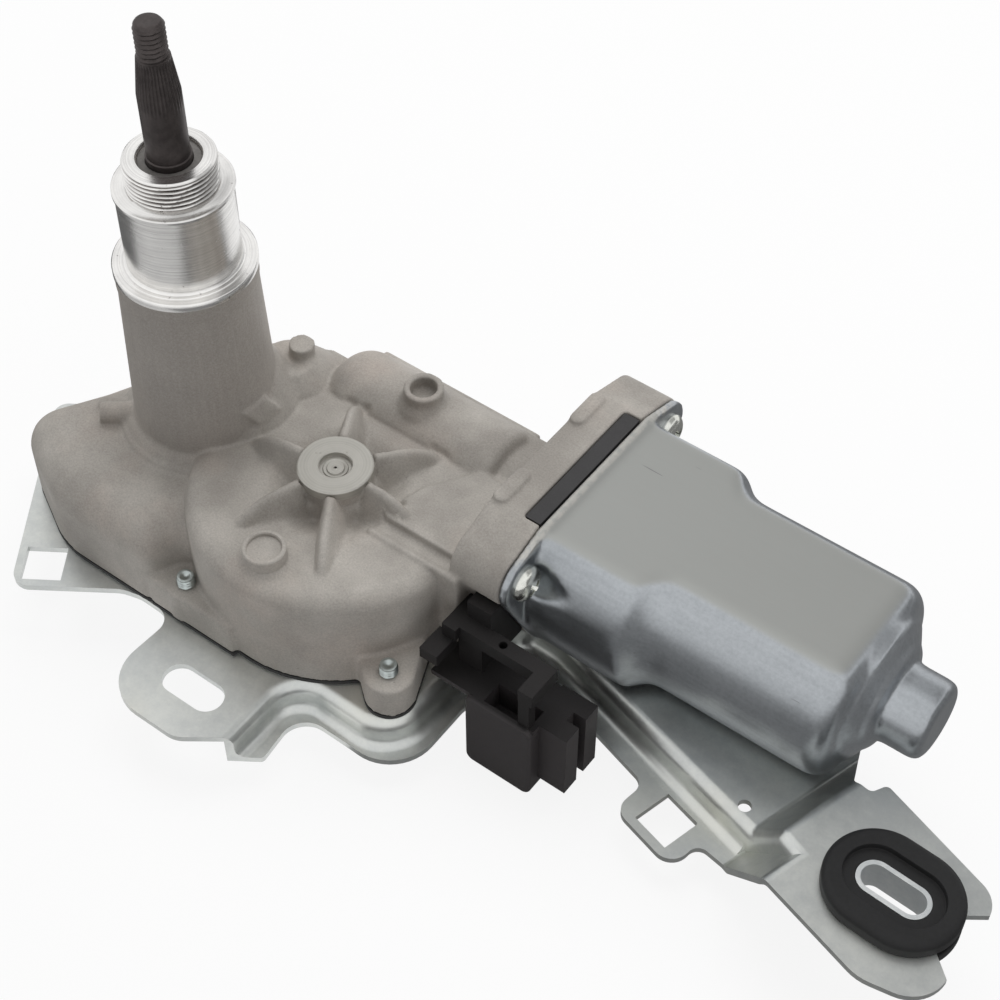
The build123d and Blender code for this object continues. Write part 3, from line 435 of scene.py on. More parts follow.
def addPiece(name, mesh, finish, body, node=None):
    piece = bpy.data.objects.new(name, mesh)
    scene.collection.objects.link(piece)
    mesh.materials.clear()
    mesh.materials.append(finishes[finish])
    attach(piece, body)
    if node:
        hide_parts(node)


def smoothBy(mesh, angle):
    bm = bmesh.new()
    bm.from_mesh(mesh)
    for face in bm.faces:
        face.smooth = True
    for edge in bm.edges:
        edge.smooth = len(edge.link_faces) == 2 and edge.calc_face_angle(3.0) < math.radians(angle)
    bm.to_mesh(mesh)
    bm.free()


def baked(piece):
    graph = bpy.context.evaluated_depsgraph_get()
    graph.update()
    result = bpy.data.meshes.new_from_object(piece.evaluated_get(graph))
    bpy.data.objects.remove(piece)
    return result


def applied(mesh, *modifiers):  # each modifier: type, settings
    piece = bpy.data.objects.new("working", mesh)
    scene.collection.objects.link(piece)
    for kind, settings in modifiers:
        modifier = piece.modifiers.new(kind, kind)
        for key, value in settings.items():
            setattr(modifier, key, value)
    return baked(piece)


def evenNormals(mesh, angle):
    smoothBy(mesh, angle)
    return applied(mesh, ("WEIGHTED_NORMAL", {"keep_sharp": True, "weight": 60}))


def circle(r, z, steps, at=(0, 0)):
    turns = [2 * math.pi * i / steps for i in range(steps)]
    return [(at[0] + r * math.cos(a), at[1] + r * math.sin(a), z) for a in turns]


def gridMesh(name, rows, closeTop=False, closeFoot=False):
    count = len(rows[0])
    points = [p for row in rows for p in row]
    faces = []
    for j in range(len(rows) - 1):
        for i in range(count):
            k = (i + 1) % count
            faces.append((j * count + i, j * count + k, (j + 1) * count + k, (j + 1) * count + i))
    if closeTop:
        faces.append(tuple((len(rows) - 1) * count + i for i in range(count)))
    if closeFoot:
        faces.append(tuple(reversed(range(count))))
    mesh = bpy.data.meshes.new(name)
    mesh.from_pydata([Vector(p) * mm for p in points], [], faces)
    bm = bmesh.new()
    bm.from_mesh(mesh)
    bmesh.ops.remove_doubles(bm, verts=bm.verts, dist=0.0005 * mm)
    bmesh.ops.recalc_face_normals(bm, faces=bm.faces)
    bm.to_mesh(mesh)
    bm.free()
    return mesh


def turned(name, profile, steps=96, at=(0, 0)):  # closed ring-shaped solid from an (r, z) outline
    rows = [circle(r, z, steps, at) for r, z in profile]
    return gridMesh(name, rows + rows[:1])


def joined(name, meshes):
    bm = bmesh.new()
    for mesh, matrix in meshes:
        copy = mesh.copy()
        copy.transform(matrix)
        bm.from_mesh(copy)
        bpy.data.meshes.remove(copy)
    mesh = bpy.data.meshes.new(name)
    bm.to_mesh(mesh)
    bm.free()
    return mesh


def prism(points, z0, z1):  # upright solid on a plan outline, anticlockwise
    mesh = bpy.data.meshes.new("prism")
    n = len(points)
    verts = [Vector((x, y, z)) * mm for z in (z0, z1) for x, y in points]
    faces = [tuple(reversed(range(n))), tuple(range(n, 2 * n))]
    faces += [(i, (i + 1) % n, n + (i + 1) % n, n + i) for i in range(n)]
    mesh.from_pydata(verts, [], faces)
    return mesh


def blockOf(x0, x1, y0, y1, z0, z1):
    return prism([(x0, y0), (x1, y0), (x1, y1), (x0, y1)], z0, z1)


def coneOf(at, r0, r1, z0, z1, steps=48):
    return gridMesh("cone", [circle(r0, z0, steps, at), circle(r1, z1, steps, at)], True, True)


def lying(x0, x1, r, steps=48):  # a round bar along the motor's axis
    bar = coneOf((0, 0), r, r, x0, x1, steps)
    y, z = (v * mm for v in canAxis)
    bar.transform(Matrix(((0, 0, 1, 0), (0, 1, 0, y), (-1, 0, 0, z), (0, 0, 0, 1))))
    return bar


def ease(value, low, high):
    t = np.clip((value - low) / (high - low), 0, 1)
    return t * t * (3 - 2 * t)


def sculptRibs(place, s):  # tall drafted ribs with sunk pockets between them, round the drum's boss
    x, y, z = (place[:, k] / mm for k in range(3))
    dx, dy = x - s["centre"][0], y - s["centre"][1]
    r = np.hypot(dx, dy)
    floor = s["level"] - s["sink"] * (1 - ease(r, s["bossR"] + 1.0, s["sinkR"]))
    plateau = (x > s["plateau"]["x"]) & (y > s["plateau"]["y"]) & (z > s["plateau"]["from"])
    height = np.where(plateau, s["plateau"]["z"], floor)
    onRib = np.zeros(len(x), dtype=bool)
    for angle, reach, side in s["ribs"]:
        a = math.radians(angle)
        along = dx * math.cos(a) + dy * math.sin(a)
        off = (-dx * math.sin(a) + dy * math.cos(a)) * side
        t = np.clip((along - s["bossR"]) / (reach - s["bossR"]), 0, 1)
        top = s["level"] + s["rise"] * (1 - t ** s["curve"])
        slope = np.where(off > 0, s["openSlope"], s["backSlope"])
        flank = top - slope * np.maximum(0, np.abs(off) - s["half"])
        ahead = (along > s["bossR"] - 2) & (along < reach + 1.5)
        height = np.where(ahead, np.maximum(height, flank), height)
        cap = s["level"] + s["capLow"] + s["capRise"] * (1 - t ** 3)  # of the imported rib
        onRib |= ahead & (np.abs(off) < s["width"]) & (z < cap)
    free = (r > s["bossR"] + 0.35) & (r < s["outerR"]) & (z > s["lowest"])
    free &= onRib | (np.abs(z - s["level"]) < 0.5)
    for low, high in s["keep"]:
        free &= ~((x > low[0]) & (x < high[0]) & (y > low[1]) & (y < high[1]))
    place[free, 2] = height[free] * mm


def barOf(start, end, r, steps=40):  # a round bar between two points
    along = Vector(end) - Vector(start)
    bar = coneOf((0, 0), r, r, 0, along.length, steps)
    turn = along.to_track_quat("Z", "X").to_matrix().to_4x4()
    turn.translation = Vector(start) * mm
    bar.transform(turn)
    return bar


def slabOf(corners, lift, depth):  # a raised patch lying on four corners
    a, b, c, d = (Vector(corner) for corner in corners)
    normal = (b - a).cross(d - a).normalized()
    mesh = bpy.data.meshes.new("slab")
    points = [p - normal * depth for p in (a, b, c, d)] + [p + normal * lift for p in (a, b, c, d)]
    sides = [(i, (i + 1) % 4, 4 + (i + 1) % 4, 4 + i) for i in range(4)]
    mesh.from_pydata([p * mm for p in points], [], [(3, 2, 1, 0), (4, 5, 6, 7)] + sides)
    return mesh


def drawStub(place, s):  # narrows and shortens the round stub on the can's end
    x = place[:, 0] / mm
    centre = np.array(s["axis"]) * mm
    grip = 1 - s["narrow"] * np.clip((x - s["foot"]) / s["ramp"], 0, 1)
    place[:, 1:] = centre + (place[:, 1:] - centre) * grip[:, None]
    start = s["foot"] + 1.0
    outer = x > start
    place[outer, 0] = (start + (x[outer] - start) * s["shorten"]) * mm


def softSkin(node, skin):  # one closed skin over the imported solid, with its corners rounded as cast or drawn
    merged = joined("skin", [(m, Matrix()) for m in [nodes[node].data] + skin["fills"]])
    bm = bmesh.new()
    bm.from_mesh(merged)
    bmesh.ops.remove_doubles(bm, verts=bm.verts, dist=0.004 * mm)
    bm.to_mesh(merged)
    bm.free()
    mesh = applied(merged, ("REMESH", {"mode": "VOXEL", "voxel_size": skin["voxel"] * mm}))
    count, links = len(mesh.vertices), len(mesh.edges)
    place = np.empty(count * 3)
    mesh.vertices.foreach_get("co", place)
    place = place.reshape(-1, 3)
    ends = np.empty(links * 2, dtype=np.int64)
    mesh.edges.foreach_get("vertices", ends)
    a, b = ends[0::2], ends[1::2]
    near = np.bincount(a, minlength=count) + np.bincount(b, minlength=count)
    if "ribs" in skin:
        sculptRibs(place, skin["ribs"])
    give = np.ones(count)
    for low, high, hold in skin["crisp"]:
        gap = np.maximum(np.maximum(np.array(low) * mm - place, place - np.array(high) * mm), 0)
        gap = np.sqrt((gap ** 2).sum(axis=1)) / (1.5 * mm)
        give = np.minimum(give, hold + (1 - hold) * np.clip(gap, 0, 1))
    for _ in range(skin["passes"]):
        for axis in range(3):
            line = place[:, axis]
            total = np.bincount(a, line[b], count) + np.bincount(b, line[a], count)
            place[:, axis] = line + 0.5 * give * (total / near - line)
    for centre, reach, foot, head, r0, r1 in skin["trims"]:  # keeps a round length inside its machined sleeve
        offset = place[:, :2] - np.array(centre) * mm
        r = np.hypot(offset[:, 0], offset[:, 1])
        limit = (r0 + (r1 - r0) * (place[:, 2] / mm - foot) / (head - foot)) * mm
        over = (place[:, 2] > foot * mm) & (place[:, 2] < head * mm) & (r > limit) & (r < reach * mm)
        place[over, :2] = (offset * (limit / r)[:, None])[over] + np.array(centre) * mm
    for normal, level, low, high in skin["cuts"]:  # corners that the casting doesn't have
        beyond = place[:, :2] @ np.array(normal) - level * mm
        inBox = ((place > np.array(low) * mm) & (place < np.array(high) * mm)).all(axis=1)
        over = inBox & (beyond > 0)
        place[over, :2] -= beyond[over, None] * np.array(normal)
    if "stub" in skin:
        drawStub(place, skin["stub"])
    mesh.vertices.foreach_set("co", place.ravel())
    mesh.update()
    mesh = applied(mesh, ("DECIMATE", {"ratio": skin["keep"]}))
    smoothBy(mesh, 60)
    return mesh


# The gear casing: a die casting, so every corner has a fillet

lobePlan = [
    (22, 14), (-3, 13.5), (-15, 7), (-22.5, -8), (-30.5, -22.5),
    (-24, -27), (-10, -32.5), (10, -32), (13, -28), (22, -22),
]
casingSkin = {
    "voxel": 0.46, "passes": 4, "keep": 0.34,
    "fills": [
        coneOf(drumAt, 30, 30, 2.4, 25.8, 96),
        prism(lobePlan, 2.4, 15.0),
        prism([(x * 0.85, (y + 6) * 0.85 - 6) for x, y in lobePlan], 14.0, 20.8),
        blockOf(1.5, 28, 0, 27, 2.4, 24.0), blockOf(22, 61, 0, 33.7, 2.4, 24.0),
        blockOf(40, 72, -7, 31.3, 2.4, 24.0),
        lying(19, 72, 8.8), lying(55, 74, 7.0),
        blockOf(72.5, 82.4, 5.7, 42.7, 5.3, 35.7), blockOf(72.5, 82.4, 1.0, 47.4, 12.5, 28.5),
        coneOf((0, 0), 7.2, 7.2, 3.0, 88.0), coneOf(drumAt, 4.6, 4.6, 3.0, 29.5),
        *(coneOf(spot, 2.7, 2.7, 2.4, 10.2) for spot in tabScrewsAt),
        coneOf((9.5, 16.0), 12.0, 5.5, 25.0, 32.0),  # mound under the stud
        coneOf((3.0, 4.0), 17.0, 10.3, 25.0, 36.5),  # skirt on the tower's side towards the drum
        coneOf((39.8, 24.2), 6.4, 4.5, 29.5, 31.9),  # foot of the hollow boss
        coneOf((0, 0), 18.6, 17.0, 21.5, 23.9), coneOf((0, 0), 16.9, 16.2, 24.0, 25.9),
        coneOf(lowBossAt, 5.4, 4.7, 25.5, 28.2),
        slabOf([(15.2, 2.4, 35.1), (14.7, -4.2, 35.0), (15.9, -1.3, 30.1), (16.7, 4.8, 30.5)], 0.6, 3.0),
        barOf((-17.2, -15.2, 24.3), (-10.5, -10.2, 24.3), 2.5),  # nub on the tower's left
        blockOf(50.5, 73.3, -8.7, -7.5, 26.0, 28.4),  # ridges on the box
        blockOf(52.0, 74.5, -4.4, -3.2, 27.0, 29.5),
    ],
    "crisp": [  # low corner, high corner, how much the rounding still works there
        ((71.0, -30, -5), (90, 60, 60), 0.35), ((30.0, -10.6, 31.8), (46, 5.6, 34), 0.15),
        ((35.2, 19.6, 34.0), (44.4, 28.8, 36), 0.2), ((7.5, 15.4, 33.5), (14.5, 22.3, 36), 0.3),
        ((7.5, 0.0, 27.5), (15.3, 7.8, 30), 0.2), ((50.0, -9.0, 27.0), (75, -2.8, 31), 0.4),
    ],
    "trims": [  # centre, reach, foot, head, radius at the foot and at the head
        ((0, 0), 30, 58.0, 66.3, 14.45, 14.25), ((0, 0), 30, 66.3, 69.2, 13.4, 11.2),
        ((0, 0), 30, 69.2, 86.8, 11.2, 11.2), ((0, 0), 30, 86.8, 93.3, 8.5, 8.5),
        (lowBossAt, 6.2, 28.4, 32.0, 4.35, 4.3),
    ],
    "cuts": [((-0.775, 0.634), 9.2, (-4, 17.5, 15.0), (12, 31, 31.5))],  # normal, level, low, high
    "ribs": {
        "centre": drumAt, "level": 27.7, "lowest": 26.3, "bossR": 7.8, "outerR": 25.5,
        "sink": 2.3, "sinkR": 16.0, "rise": 5.5, "curve": 3.4,
        "half": 0.75, "width": 2.9, "openSlope": 2.2, "backSlope": 4.0,
        "capLow": 1.0, "capRise": 4.8, "plateau": {"x": 53.0, "y": -4.3, "from": 28.4, "z": 29.0},
        "ribs": [  # angle, reach, open side
            (3, 19.5, -1), (56, 22.3, -1), (119, 21.8, -1), (184, 21.6, 1), (246, 23.0, 1), (302, 24.5, 1),
        ],
        "keep": [((33.0, -32.2), (45.4, -20.0)), ((51.6, -12.0), (75, -3.2)), ((57.5, -4.5), (75, 20))],
    },
}
addPiece("gearCasing", softSkin("gear_casing", casingSkin), "cast", "housing", "gear_casing")
print("gear casing made")


# The motor can, deep drawn from sheet

canSkin = {
    "voxel": 0.55, "passes": 16, "keep": 0.3,
    "fills": [
        blockOf(83, 105, 4.2, 44.2, 5.3, 35.7), blockOf(83, 105, 1.0, 47.4, 11.5, 20.5),
        blockOf(104, 147.5, 10.2, 38.2, 5.3, 35.7), blockOf(104, 148, 4.7, 43.7, 14.5, 26.5),
        blockOf(146, 149.7, 12.2, 36.2, 8.5, 32.5), lying(147, 164, 8.3),
    ],
    "crisp": [((80, -20, -10), (84.4, 70, 60), 0.12)],
    "trims": [], "cuts": [],
    "stub": {"axis": canAxis, "foot": 151.4, "ramp": 1.8, "narrow": 0.09, "shorten": 0.93},
}
addPiece("motorCan", softSkin("motor_yoke", canSkin), "can", "housing", "motor_yoke")
print("motor can made")


# Folded sheet, rubber and mouldings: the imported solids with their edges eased

eased = {  # node: finish, edge easing in mm, smooth angle
    "bracket_grommet": ("rubber", 0.3, 32),
    "grommet_sleeve": ("sleeve", 0.12, 32),
    "connector_body": ("plastic", 0.25, 32),
    "brush_card": ("card", 0.12, 32),
    "base_gasket": ("gasket", 0.0, 32),
    "shaft_seal": ("seal", 0.2, 32),
}


def cleanCopy(node):
    mesh = nodes[node].data.copy()
    bm = bmesh.new()
    bm.from_mesh(mesh)
    bmesh.ops.remove_doubles(bm, verts=bm.verts, dist=0.004 * mm)
    bmesh.ops.dissolve_limit(bm, angle_limit=math.radians(0.6), verts=bm.verts, edges=bm.edges)
    bm.to_mesh(mesh)
    bm.free()
    return mesh


def easedCopy(node, width, angle):
    mesh = cleanCopy(node)
    if width:
        mesh = applied(mesh, ("BEVEL", {"width": width * mm, "segments": 2, "limit_method": "ANGLE",
                                        "angle_limit": math.radians(angle), "use_clamp_overlap": True}))
    return evenNormals(mesh, angle)


for node, (finish, width, angle) in eased.items():
    addPiece(node + "Eased", easedCopy(node, width, angle), finish, bodyOf(node), node)


bracketSheet = {"lipTop": -5.5, "footR": 2.3, "segments": 6}


def foldedSheet(s):  # rounds the fold where the wall meets the lip
    mesh = cleanCopy("mounting_bracket")
    bm = bmesh.new()
    bm.from_mesh(mesh)
    folds = []
    for edge in bm.edges:
        level = all(abs(v.co.z / mm - s["lipTop"]) < 0.05 for v in edge.verts)
        if level and len(edge.link_faces) == 2 and not edge.is_convex:
            if math.radians(60) < edge.calc_face_angle(0) < math.radians(120):
                folds.append(edge)
    print("folds", len(folds))
    bmesh.ops.bevel(bm, geom=folds, offset=s["footR"] * mm, segments=s["segments"], profile=0.5,
                    affect="EDGES", clamp_overlap=False)
    bm.to_mesh(mesh)
    bm.free()
    return evenNormals(mesh, 34)


addPiece("bracketSheet", foldedSheet(bracketSheet), "bracket", "housing", "mounting_bracket")
print("sheet and mouldings made")


# Machined neck of the tower, with its thread

neck = {
    "foot": [(12.6, 66.0), (14.2, 66.05), (14.5, 66.3), (14.5, 67.7), (14.25, 68.0), (12.9, 68.05),
             (12.75, 68.25), (12.1, 68.3), (11.9, 68.6), (11.55, 68.7), (11.5, 85.7), (11.55, 85.95),
             (11.9, 86.2), (11.9, 86.7), (11.65, 86.95), (10.4, 87.0), (10.2, 87.15), (9.0, 87.2)],
    "head": [(9.0, 93.1), (8.6, 93.5), (6.5, 93.5), (6.25, 93.2), (6.2, 91.4), (5.6, 91.4)],
    "root": 8.6, "crest": 9.3, "pitch": 1.0, "threadFoot": 87.2, "threadTop": 93.1, "leadIn": 0.5,
    "boreR": 5.6, "steps": 144,
}


def neckMesh(s):
    rows = [circle(r, z, s["steps"]) for r, z in s["foot"]]
    height = s["threadTop"] - s["threadFoot"]
    count = int(height / s["pitch"] * 10)
    for j in range(1, count):
        z = s["threadFoot"] + height * j / count
        lead = min(1, (z - s["threadFoot"]) / s["leadIn"], (s["threadTop"] - z) / s["leadIn"])
        row = []
        for i in range(s["steps"]):
            a = 2 * math.pi * i / s["steps"]
            wave = abs(2 * (((z - s["threadFoot"]) / s["pitch"] - a / 2 / math.pi) % 1) - 1)
            r = s["crest"] - (s["crest"] - s["root"]) * min(1, wave * 1.25) - 0.25 * (1 - lead)
            row.append((r * math.cos(a), r * math.sin(a), z))
        rows.append(row)
    rows += [circle(r, z, s["steps"]) for r, z in s["head"]]
    return gridMesh("neck", rows + [circle(s["boreR"], s["foot"][0][1], s["steps"]), rows[0]])


mesh = neckMesh(neck)
smoothBy(mesh, 42)
addPiece("turnedNeck", mesh, "turned", "housing")

bosses = {  # outlines as (r, z)
    "ring": [(3.4, 31.0), (3.4, 33.5), (3.6, 33.7), (7.65, 33.7), (7.88, 33.45), (7.9, 31.6), (7.0, 31.0)],
    "dimple": [(0.3, 32.75), (0.9, 32.55), (1.7, 32.7), (1.9, 32.45), (2.5, 32.6), (2.7, 32.35), (3.3, 32.4),
               (3.5, 31.2), (0.3, 31.2)],
    "lowRim": [(3.4, 29.4), (3.5, 31.1), (3.7, 31.35), (4.25, 31.3), (4.48, 31.05), (4.55, 28.4),
               (3.4, 28.4)],
}
mesh = joined("bossFace", [(turned("ring", bosses["ring"], 96, drumAt), Matrix()),
                           (turned("dimple", bosses["dimple"], 64, drumAt), Matrix())])
smoothBy(mesh, 35)
addPiece("bossFace", mesh, "faced", "housing")
mesh = turned("lowBossRim", bosses["lowRim"], 72, lowBossAt)
smoothBy(mesh, 35)
addPiece("lowBossRim", mesh, "cast", "housing")
print("machined faces made")


# Output shaft with knurl and thread

spindle = {
    "foot": 4.0, "seatR": 4.5, "seatTop": 94.0, "r": 4.2, "seam": 104.5, "plainTop": 108.5, "taperTop": 116.3,
    "tip": 123.8, "tipR": 3.0, "pitch": 1.0, "threadDepth": 0.42, "knurls": 36, "knurlDepth": 0.2,
    "tipRows": [(2.75, 0.55), (2.45, 0.12), (2.1, 0.0), (1.0, 0.12)],  # radius, drop from the tip
    "steps": 216,
}


def spindleMesh(s):
    rows = [circle(s["seatR"], z, s["steps"]) for z in (s["foot"], 60.0, s["seatTop"] - 0.1)]
    rows += [circle(s["r"], z, s["steps"]) for z in (s["seatTop"] + 0.05, s["seam"])]
    heights = []
    z = s["seam"]
    while z < s["taperTop"] - 0.01:
        z = min(z + 0.4, s["taperTop"])
        heights.append(z)
    while z < s["tip"] - 0.9:
        z += s["pitch"] / 8
        heights.append(z)
    for z in heights:
        row = []
        for i in range(s["steps"]):
            a = 2 * math.pi * i / s["steps"]
            if z <= s["plainTop"]:
                r = s["r"]
            elif z <= s["taperTop"]:
                t = (z - s["plainTop"]) / (s["taperTop"] - s["plainTop"])
                r = s["r"] + (s["tipR"] + 0.25 - s["r"]) * t
            else:
                turn = ((z - s["taperTop"]) / s["pitch"] - a / 2 / math.pi) % 1
                lead = min(1, (z - s["taperTop"]) / 0.8)
                r = s["tipR"] - s["threadDepth"] * lead * abs(2 * turn - 1)
            if s["seam"] < z < s["taperTop"]:
                lead = min(1, (z - s["seam"]) / 3.5, (s["taperTop"] - z) / 1.0)
                r -= s["knurlDepth"] * lead * (0.5 - 0.5 * math.cos(a * s["knurls"]))
            row.append((r * math.cos(a), r * math.sin(a), z))
        rows.append(row)
    for r, drop in s["tipRows"]:
        rows.append(circle(r, s["tip"] - drop, s["steps"]))
    return gridMesh("spindle", rows, True, True)


mesh = spindleMesh(spindle)
smoothBy(mesh, 50)
addPiece("outputSpindle", mesh, "shaft", "output", "output_shaft")
print("spindle made")


# Geometry Nodes: copies of one mesh on the points of another

class Grower:
    def __init__(self, name, inputs):
        self.tree = bpy.data.node_groups.new(name, "GeometryNodeTree")
        self.ids = {}
        for label, (kind, value) in inputs.items():
            socket = self.tree.interface.new_socket(label, in_out="INPUT", socket_type="NodeSocket" + kind)
            if value is not None:
                socket.default_value = value
            self.ids[label] = socket.identifier
        self.tree.interface.new_socket("Geometry", in_out="OUTPUT", socket_type="NodeSocketGeometry")
        self.start = self.node("NodeGroupInput")

    def node(self, kind, settings=None, values=None):
        raw = self.tree.nodes.new(kind)
        for key, value in (settings or {}).items():
            setattr(raw, key, value)
        for key, value in (values or {}).items():
            if isinstance(value, bpy.types.NodeSocket):
                self.tree.links.new(value, raw.inputs[key])
            else:
                raw.inputs[key].default_value = value
        return raw

    def finish(self, instances, material):
        real = self.node("GeometryNodeRealizeInstances", None, {0: instances})
        paint = self.node("GeometryNodeSetMaterial", None, {0: real.outputs[0], "Material": material})
        end = self.node("NodeGroupOutput")
        self.tree.links.new(paint.outputs[0], end.inputs[0])

    def grow(self, mesh, values):
        piece = bpy.data.objects.new("growing", mesh)
        scene.collection.objects.link(piece)
        modifier = piece.modifiers.new("grow", "NODES")
        modifier.node_group = self.tree
        for label, value in values.items():
            modifier[self.ids[label]] = value
        return baked(piece)


def pointsMesh(points):
    mesh = bpy.data.meshes.new("points")
    mesh.from_pydata([Vector(p) * mm for p in points], [], [])
    return mesh


def screwRow(name, finish):  # one screw on each point, each turned a little differently
    row = Grower(name, {"Points": ("Geometry", None), "Screw": ("Object", None),
                        "Tilt": ("Vector", (0, 0, 0)), "Spread": ("Float", 0.9), "Seed": ("Int", 7)})
    source = row.node("GeometryNodeObjectInfo", None, {"Object": row.start.outputs["Screw"]})
    spin = row.node("FunctionNodeRandomValue", {"data_type": "FLOAT"},
                    {2: 0.0, 3: row.start.outputs["Spread"], "Seed": row.start.outputs["Seed"]})
    around = row.node("ShaderNodeCombineXYZ", None, {2: spin.outputs[1]})
    first = row.node("FunctionNodeEulerToRotation", None, {0: around.outputs[0]})
    tilt = row.node("FunctionNodeEulerToRotation", None, {0: row.start.outputs["Tilt"]})
    both = row.node("FunctionNodeRotateRotation", {"rotation_space": "GLOBAL"},
                    {0: first.outputs[0], 1: tilt.outputs[0]})
    copies = row.node("GeometryNodeInstanceOnPoints", None,
                      {"Points": row.start.outputs["Points"], "Instance": source.outputs["Geometry"],
                       "Rotation": both.outputs[0]})
    row.finish(copies.outputs[0], finishes[finish])
    return row


screws = {
    "headR": 3.9, "headH": 2.6, "rim": 0.4, "recess": 2.3, "recessDepth": 1.7, "blade": 0.5,
    "shankR": 2.0, "pitch": 0.8, "shankFoot": 6.0, "shankTop": 12.8,
    "canSpots": [(84.6, -1.0, 29.1), (84.6, 49.4, 29.1)],
    "tabSpots": [(x, y, 0) for x, y in tabScrewsAt],
}


def panHead(s, steps=48):  # head on z = 0, pointing up
    profile = [(0.2, -0.01), (s["headR"], -0.01), (s["headR"], s["rim"])]
    profile += [(s["headR"] * math.cos(t), s["rim"] + (s["headH"] - s["rim"]) * math.sin(t))
                for t in (math.radians(a) for a in range(10, 90, 10))]
    profile.append((0.15, s["headH"]))
    head = gridMesh("head", [circle(r, z, steps) for r, z in profile], True, True)
    bm = bmesh.new()
    w, reach, top, foot = s["blade"], s["recess"], s["headH"] + 1, s["headH"] - s["recessDepth"]
    for turn in (0, math.pi / 2):
        high = [(-reach, -w), (reach, -w), (reach, w), (-reach, w)]
        low = [(x * 0.45, y * 0.7) for x, y in high]
        spin = Matrix.Rotation(turn, 4, "Z")
        base = [bm.verts.new(spin @ Vector((x, y, foot)) * mm) for x, y in low]
        roof = [bm.verts.new(spin @ Vector((x, y, top)) * mm) for x, y in high]
        bm.faces.new(base[::-1])
        bm.faces.new(roof)
        for i in range(4):
            k = (i + 1) % 4
            bm.faces.new((base[i], base[k], roof[k], roof[i]))
    crossMesh = bpy.data.meshes.new("cross")
    bm.to_mesh(crossMesh)
    bm.free()
    cross = bpy.data.objects.new("cross", crossMesh)
    scene.collection.objects.link(cross)
    head = applied(head, ("BOOLEAN", {"operation": "DIFFERENCE", "use_self": True, "object": cross}))
    bpy.data.objects.remove(cross)
    return head


def threadedTip(s, foot, top, steps=40):  # upright shank with a thread and a dimpled end
    rows = []
    count = int((top - foot) / 0.1)
    for j in range(count + 1):
        z = foot + (top - foot) * j / count
        lead = min(1, (top - z) / 0.5)
        row = []
        for i in range(steps):
            a = 2 * math.pi * i / steps
            turn = (z / s["pitch"] - a / 2 / math.pi) % 1
            r = s["shankR"] * (0.86 + 0.14 * lead) - 0.3 * abs(2 * turn - 1) * lead
            row.append((r * math.cos(a), r * math.sin(a), z))
        rows.append(row)
    rows += [circle(r, z, steps) for r, z in ((1.35, top + 0.05), (0.9, top + 0.02), (0.45, top - 0.35))]
    return gridMesh("tip", rows, True, True)


def growScrews(name, screwMesh, spots, finish, tilt):
    screw = bpy.data.objects.new("oneScrew", screwMesh)
    scene.collection.objects.link(screw)
    mesh = screwRow(name + "Tree", finish).grow(pointsMesh(spots), {"Screw": screw, "Tilt": tilt})
    bpy.data.objects.remove(screw)
    smoothBy(mesh, 40)
    return mesh


head = panHead(screws)
mesh = growScrews("canScrews", head, screws["canSpots"], "screw", (0, math.pi / 2, 0))
addPiece("canScrewHeads", mesh, "screw", "housing", "yoke_screws")
flip = Matrix.Rotation(math.pi, 4, "X")
shank = threadedTip(screws, screws["shankFoot"], screws["shankTop"])
whole = joined("tabScrew", [(shank, Matrix()), (head, flip)])
mesh = growScrews("tabScrews", whole, screws["tabSpots"], "tip", (0, 0, 0))
addPiece("tabScrewSet", mesh, "tip", "housing", "bracket_screws")
print("screws made")


# Press marks along the foot of the bracket's fold

pressMarks = {
    "from": (110.0, -0.6, -5.5), "to": (139.0, -8.6, -5.5), "count": 44,
    "long": 1.5, "wide": 0.28, "high": 0.16, "lean": -0.27, "seed": 4,
}


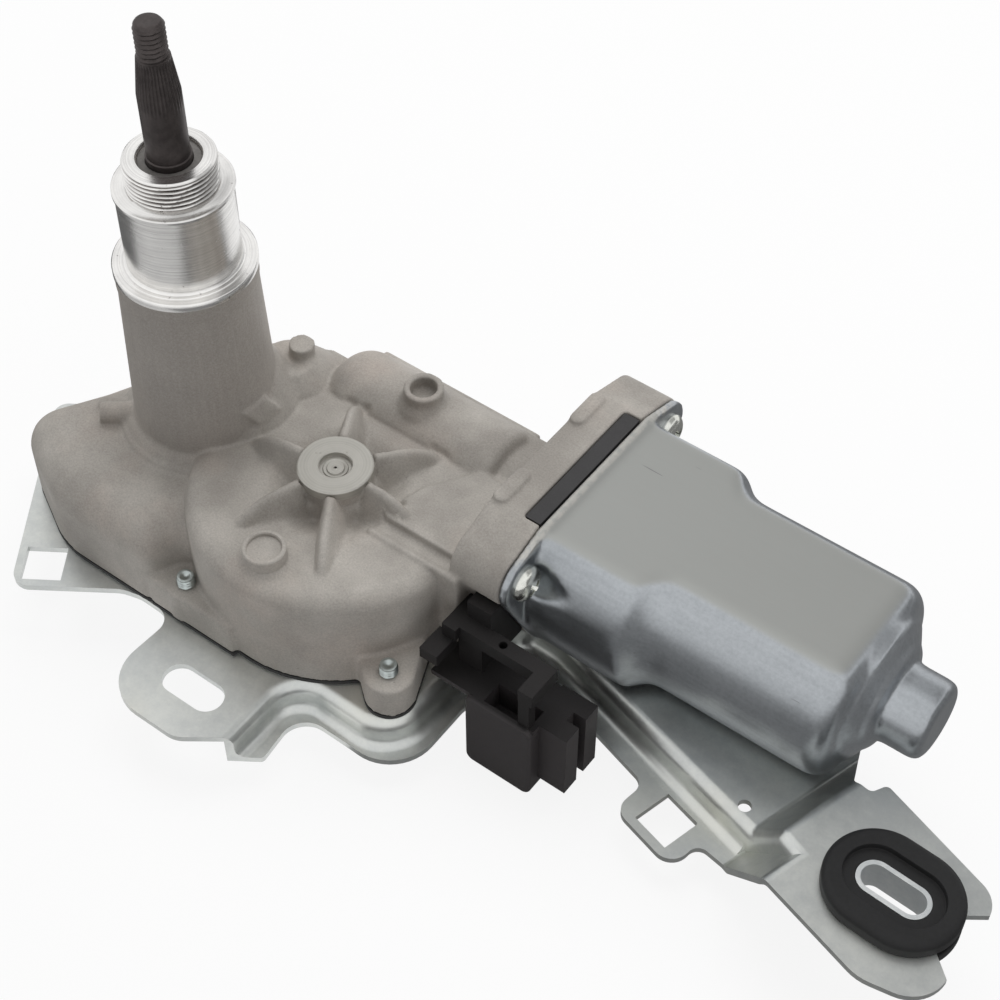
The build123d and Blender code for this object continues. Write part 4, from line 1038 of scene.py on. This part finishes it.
def marksMesh(s):
    row = Grower("pressMarks", {"Start": ("Vector", (0, 0, 0)), "End": ("Vector", (0, 0, 0)),
                                "Count": ("Int", 10), "Size": ("Vector", (1, 1, 1)),
                                "Lean": ("Float", 0.0), "Seed": ("Int", 0)})
    line = row.node("GeometryNodeCurvePrimitiveLine", None,
                    {"Start": row.start.outputs["Start"], "End": row.start.outputs["End"]})
    spots = row.node("GeometryNodeCurveToPoints", {"mode": "COUNT"},
                     {"Curve": line.outputs[0], "Count": row.start.outputs["Count"]})
    cube = row.node("GeometryNodeMeshCube", None, {"Size": row.start.outputs["Size"]})
    scale = row.node("FunctionNodeRandomValue", {"data_type": "FLOAT_VECTOR"},
                     {0: (0.6, 0.35, 0.3), 1: (1.3, 1.0, 1.0), "Seed": row.start.outputs["Seed"]})
    turn = row.node("ShaderNodeCombineXYZ", None, {2: row.start.outputs["Lean"]})
    copies = row.node("GeometryNodeInstanceOnPoints", None,
                      {"Points": spots.outputs[0], "Instance": cube.outputs[0], "Rotation": turn.outputs[0],
                       "Scale": scale.outputs[0]})
    row.finish(copies.outputs[0], finishes["bracket"])
    values = {"Start": [v * mm for v in s["from"]], "End": [v * mm for v in s["to"]], "Count": s["count"],
              "Size": [s["wide"] * mm, s["long"] * mm, s["high"] * mm], "Lean": s["lean"], "Seed": s["seed"]}
    return row.grow(pointsMesh([(0, 0, 0)]), values)


addPiece("pressMarks", marksMesh(pressMarks), "bracket", "housing")
print("press marks made")


# Finishes for the pieces inside

inside = {
    "magnet_front": "ferrite", "magnet_back": "ferrite", "rear_bearing": "bronze", "front_bearing": "bronze",
    "brush_front": "carbon", "brush_back": "carbon", "spring_front": "steel", "spring_back": "steel",
    "connector_terminals": "brass", "wheel_pin": "steel", "lower_bush": "bronze", "upper_bush": "bronze",
    "shaft_washer": "steel", "armature_shaft": "steel", "armature_core": "steel", "armature_coils": "copper",
    "commutator": "copper", "worm_wheel": "acetal", "crank_pin": "steel", "output_pinion": "steel",
    "shaft_ring": "steel", "swing_plate": "bracket", "sector_pin": "steel", "sector_rod": "steel",
}
for node, finish in inside.items():
    mesh = nodes[node].data
    mesh.materials.clear()
    mesh.materials.append(finishes[finish])
print("inner pieces finished")
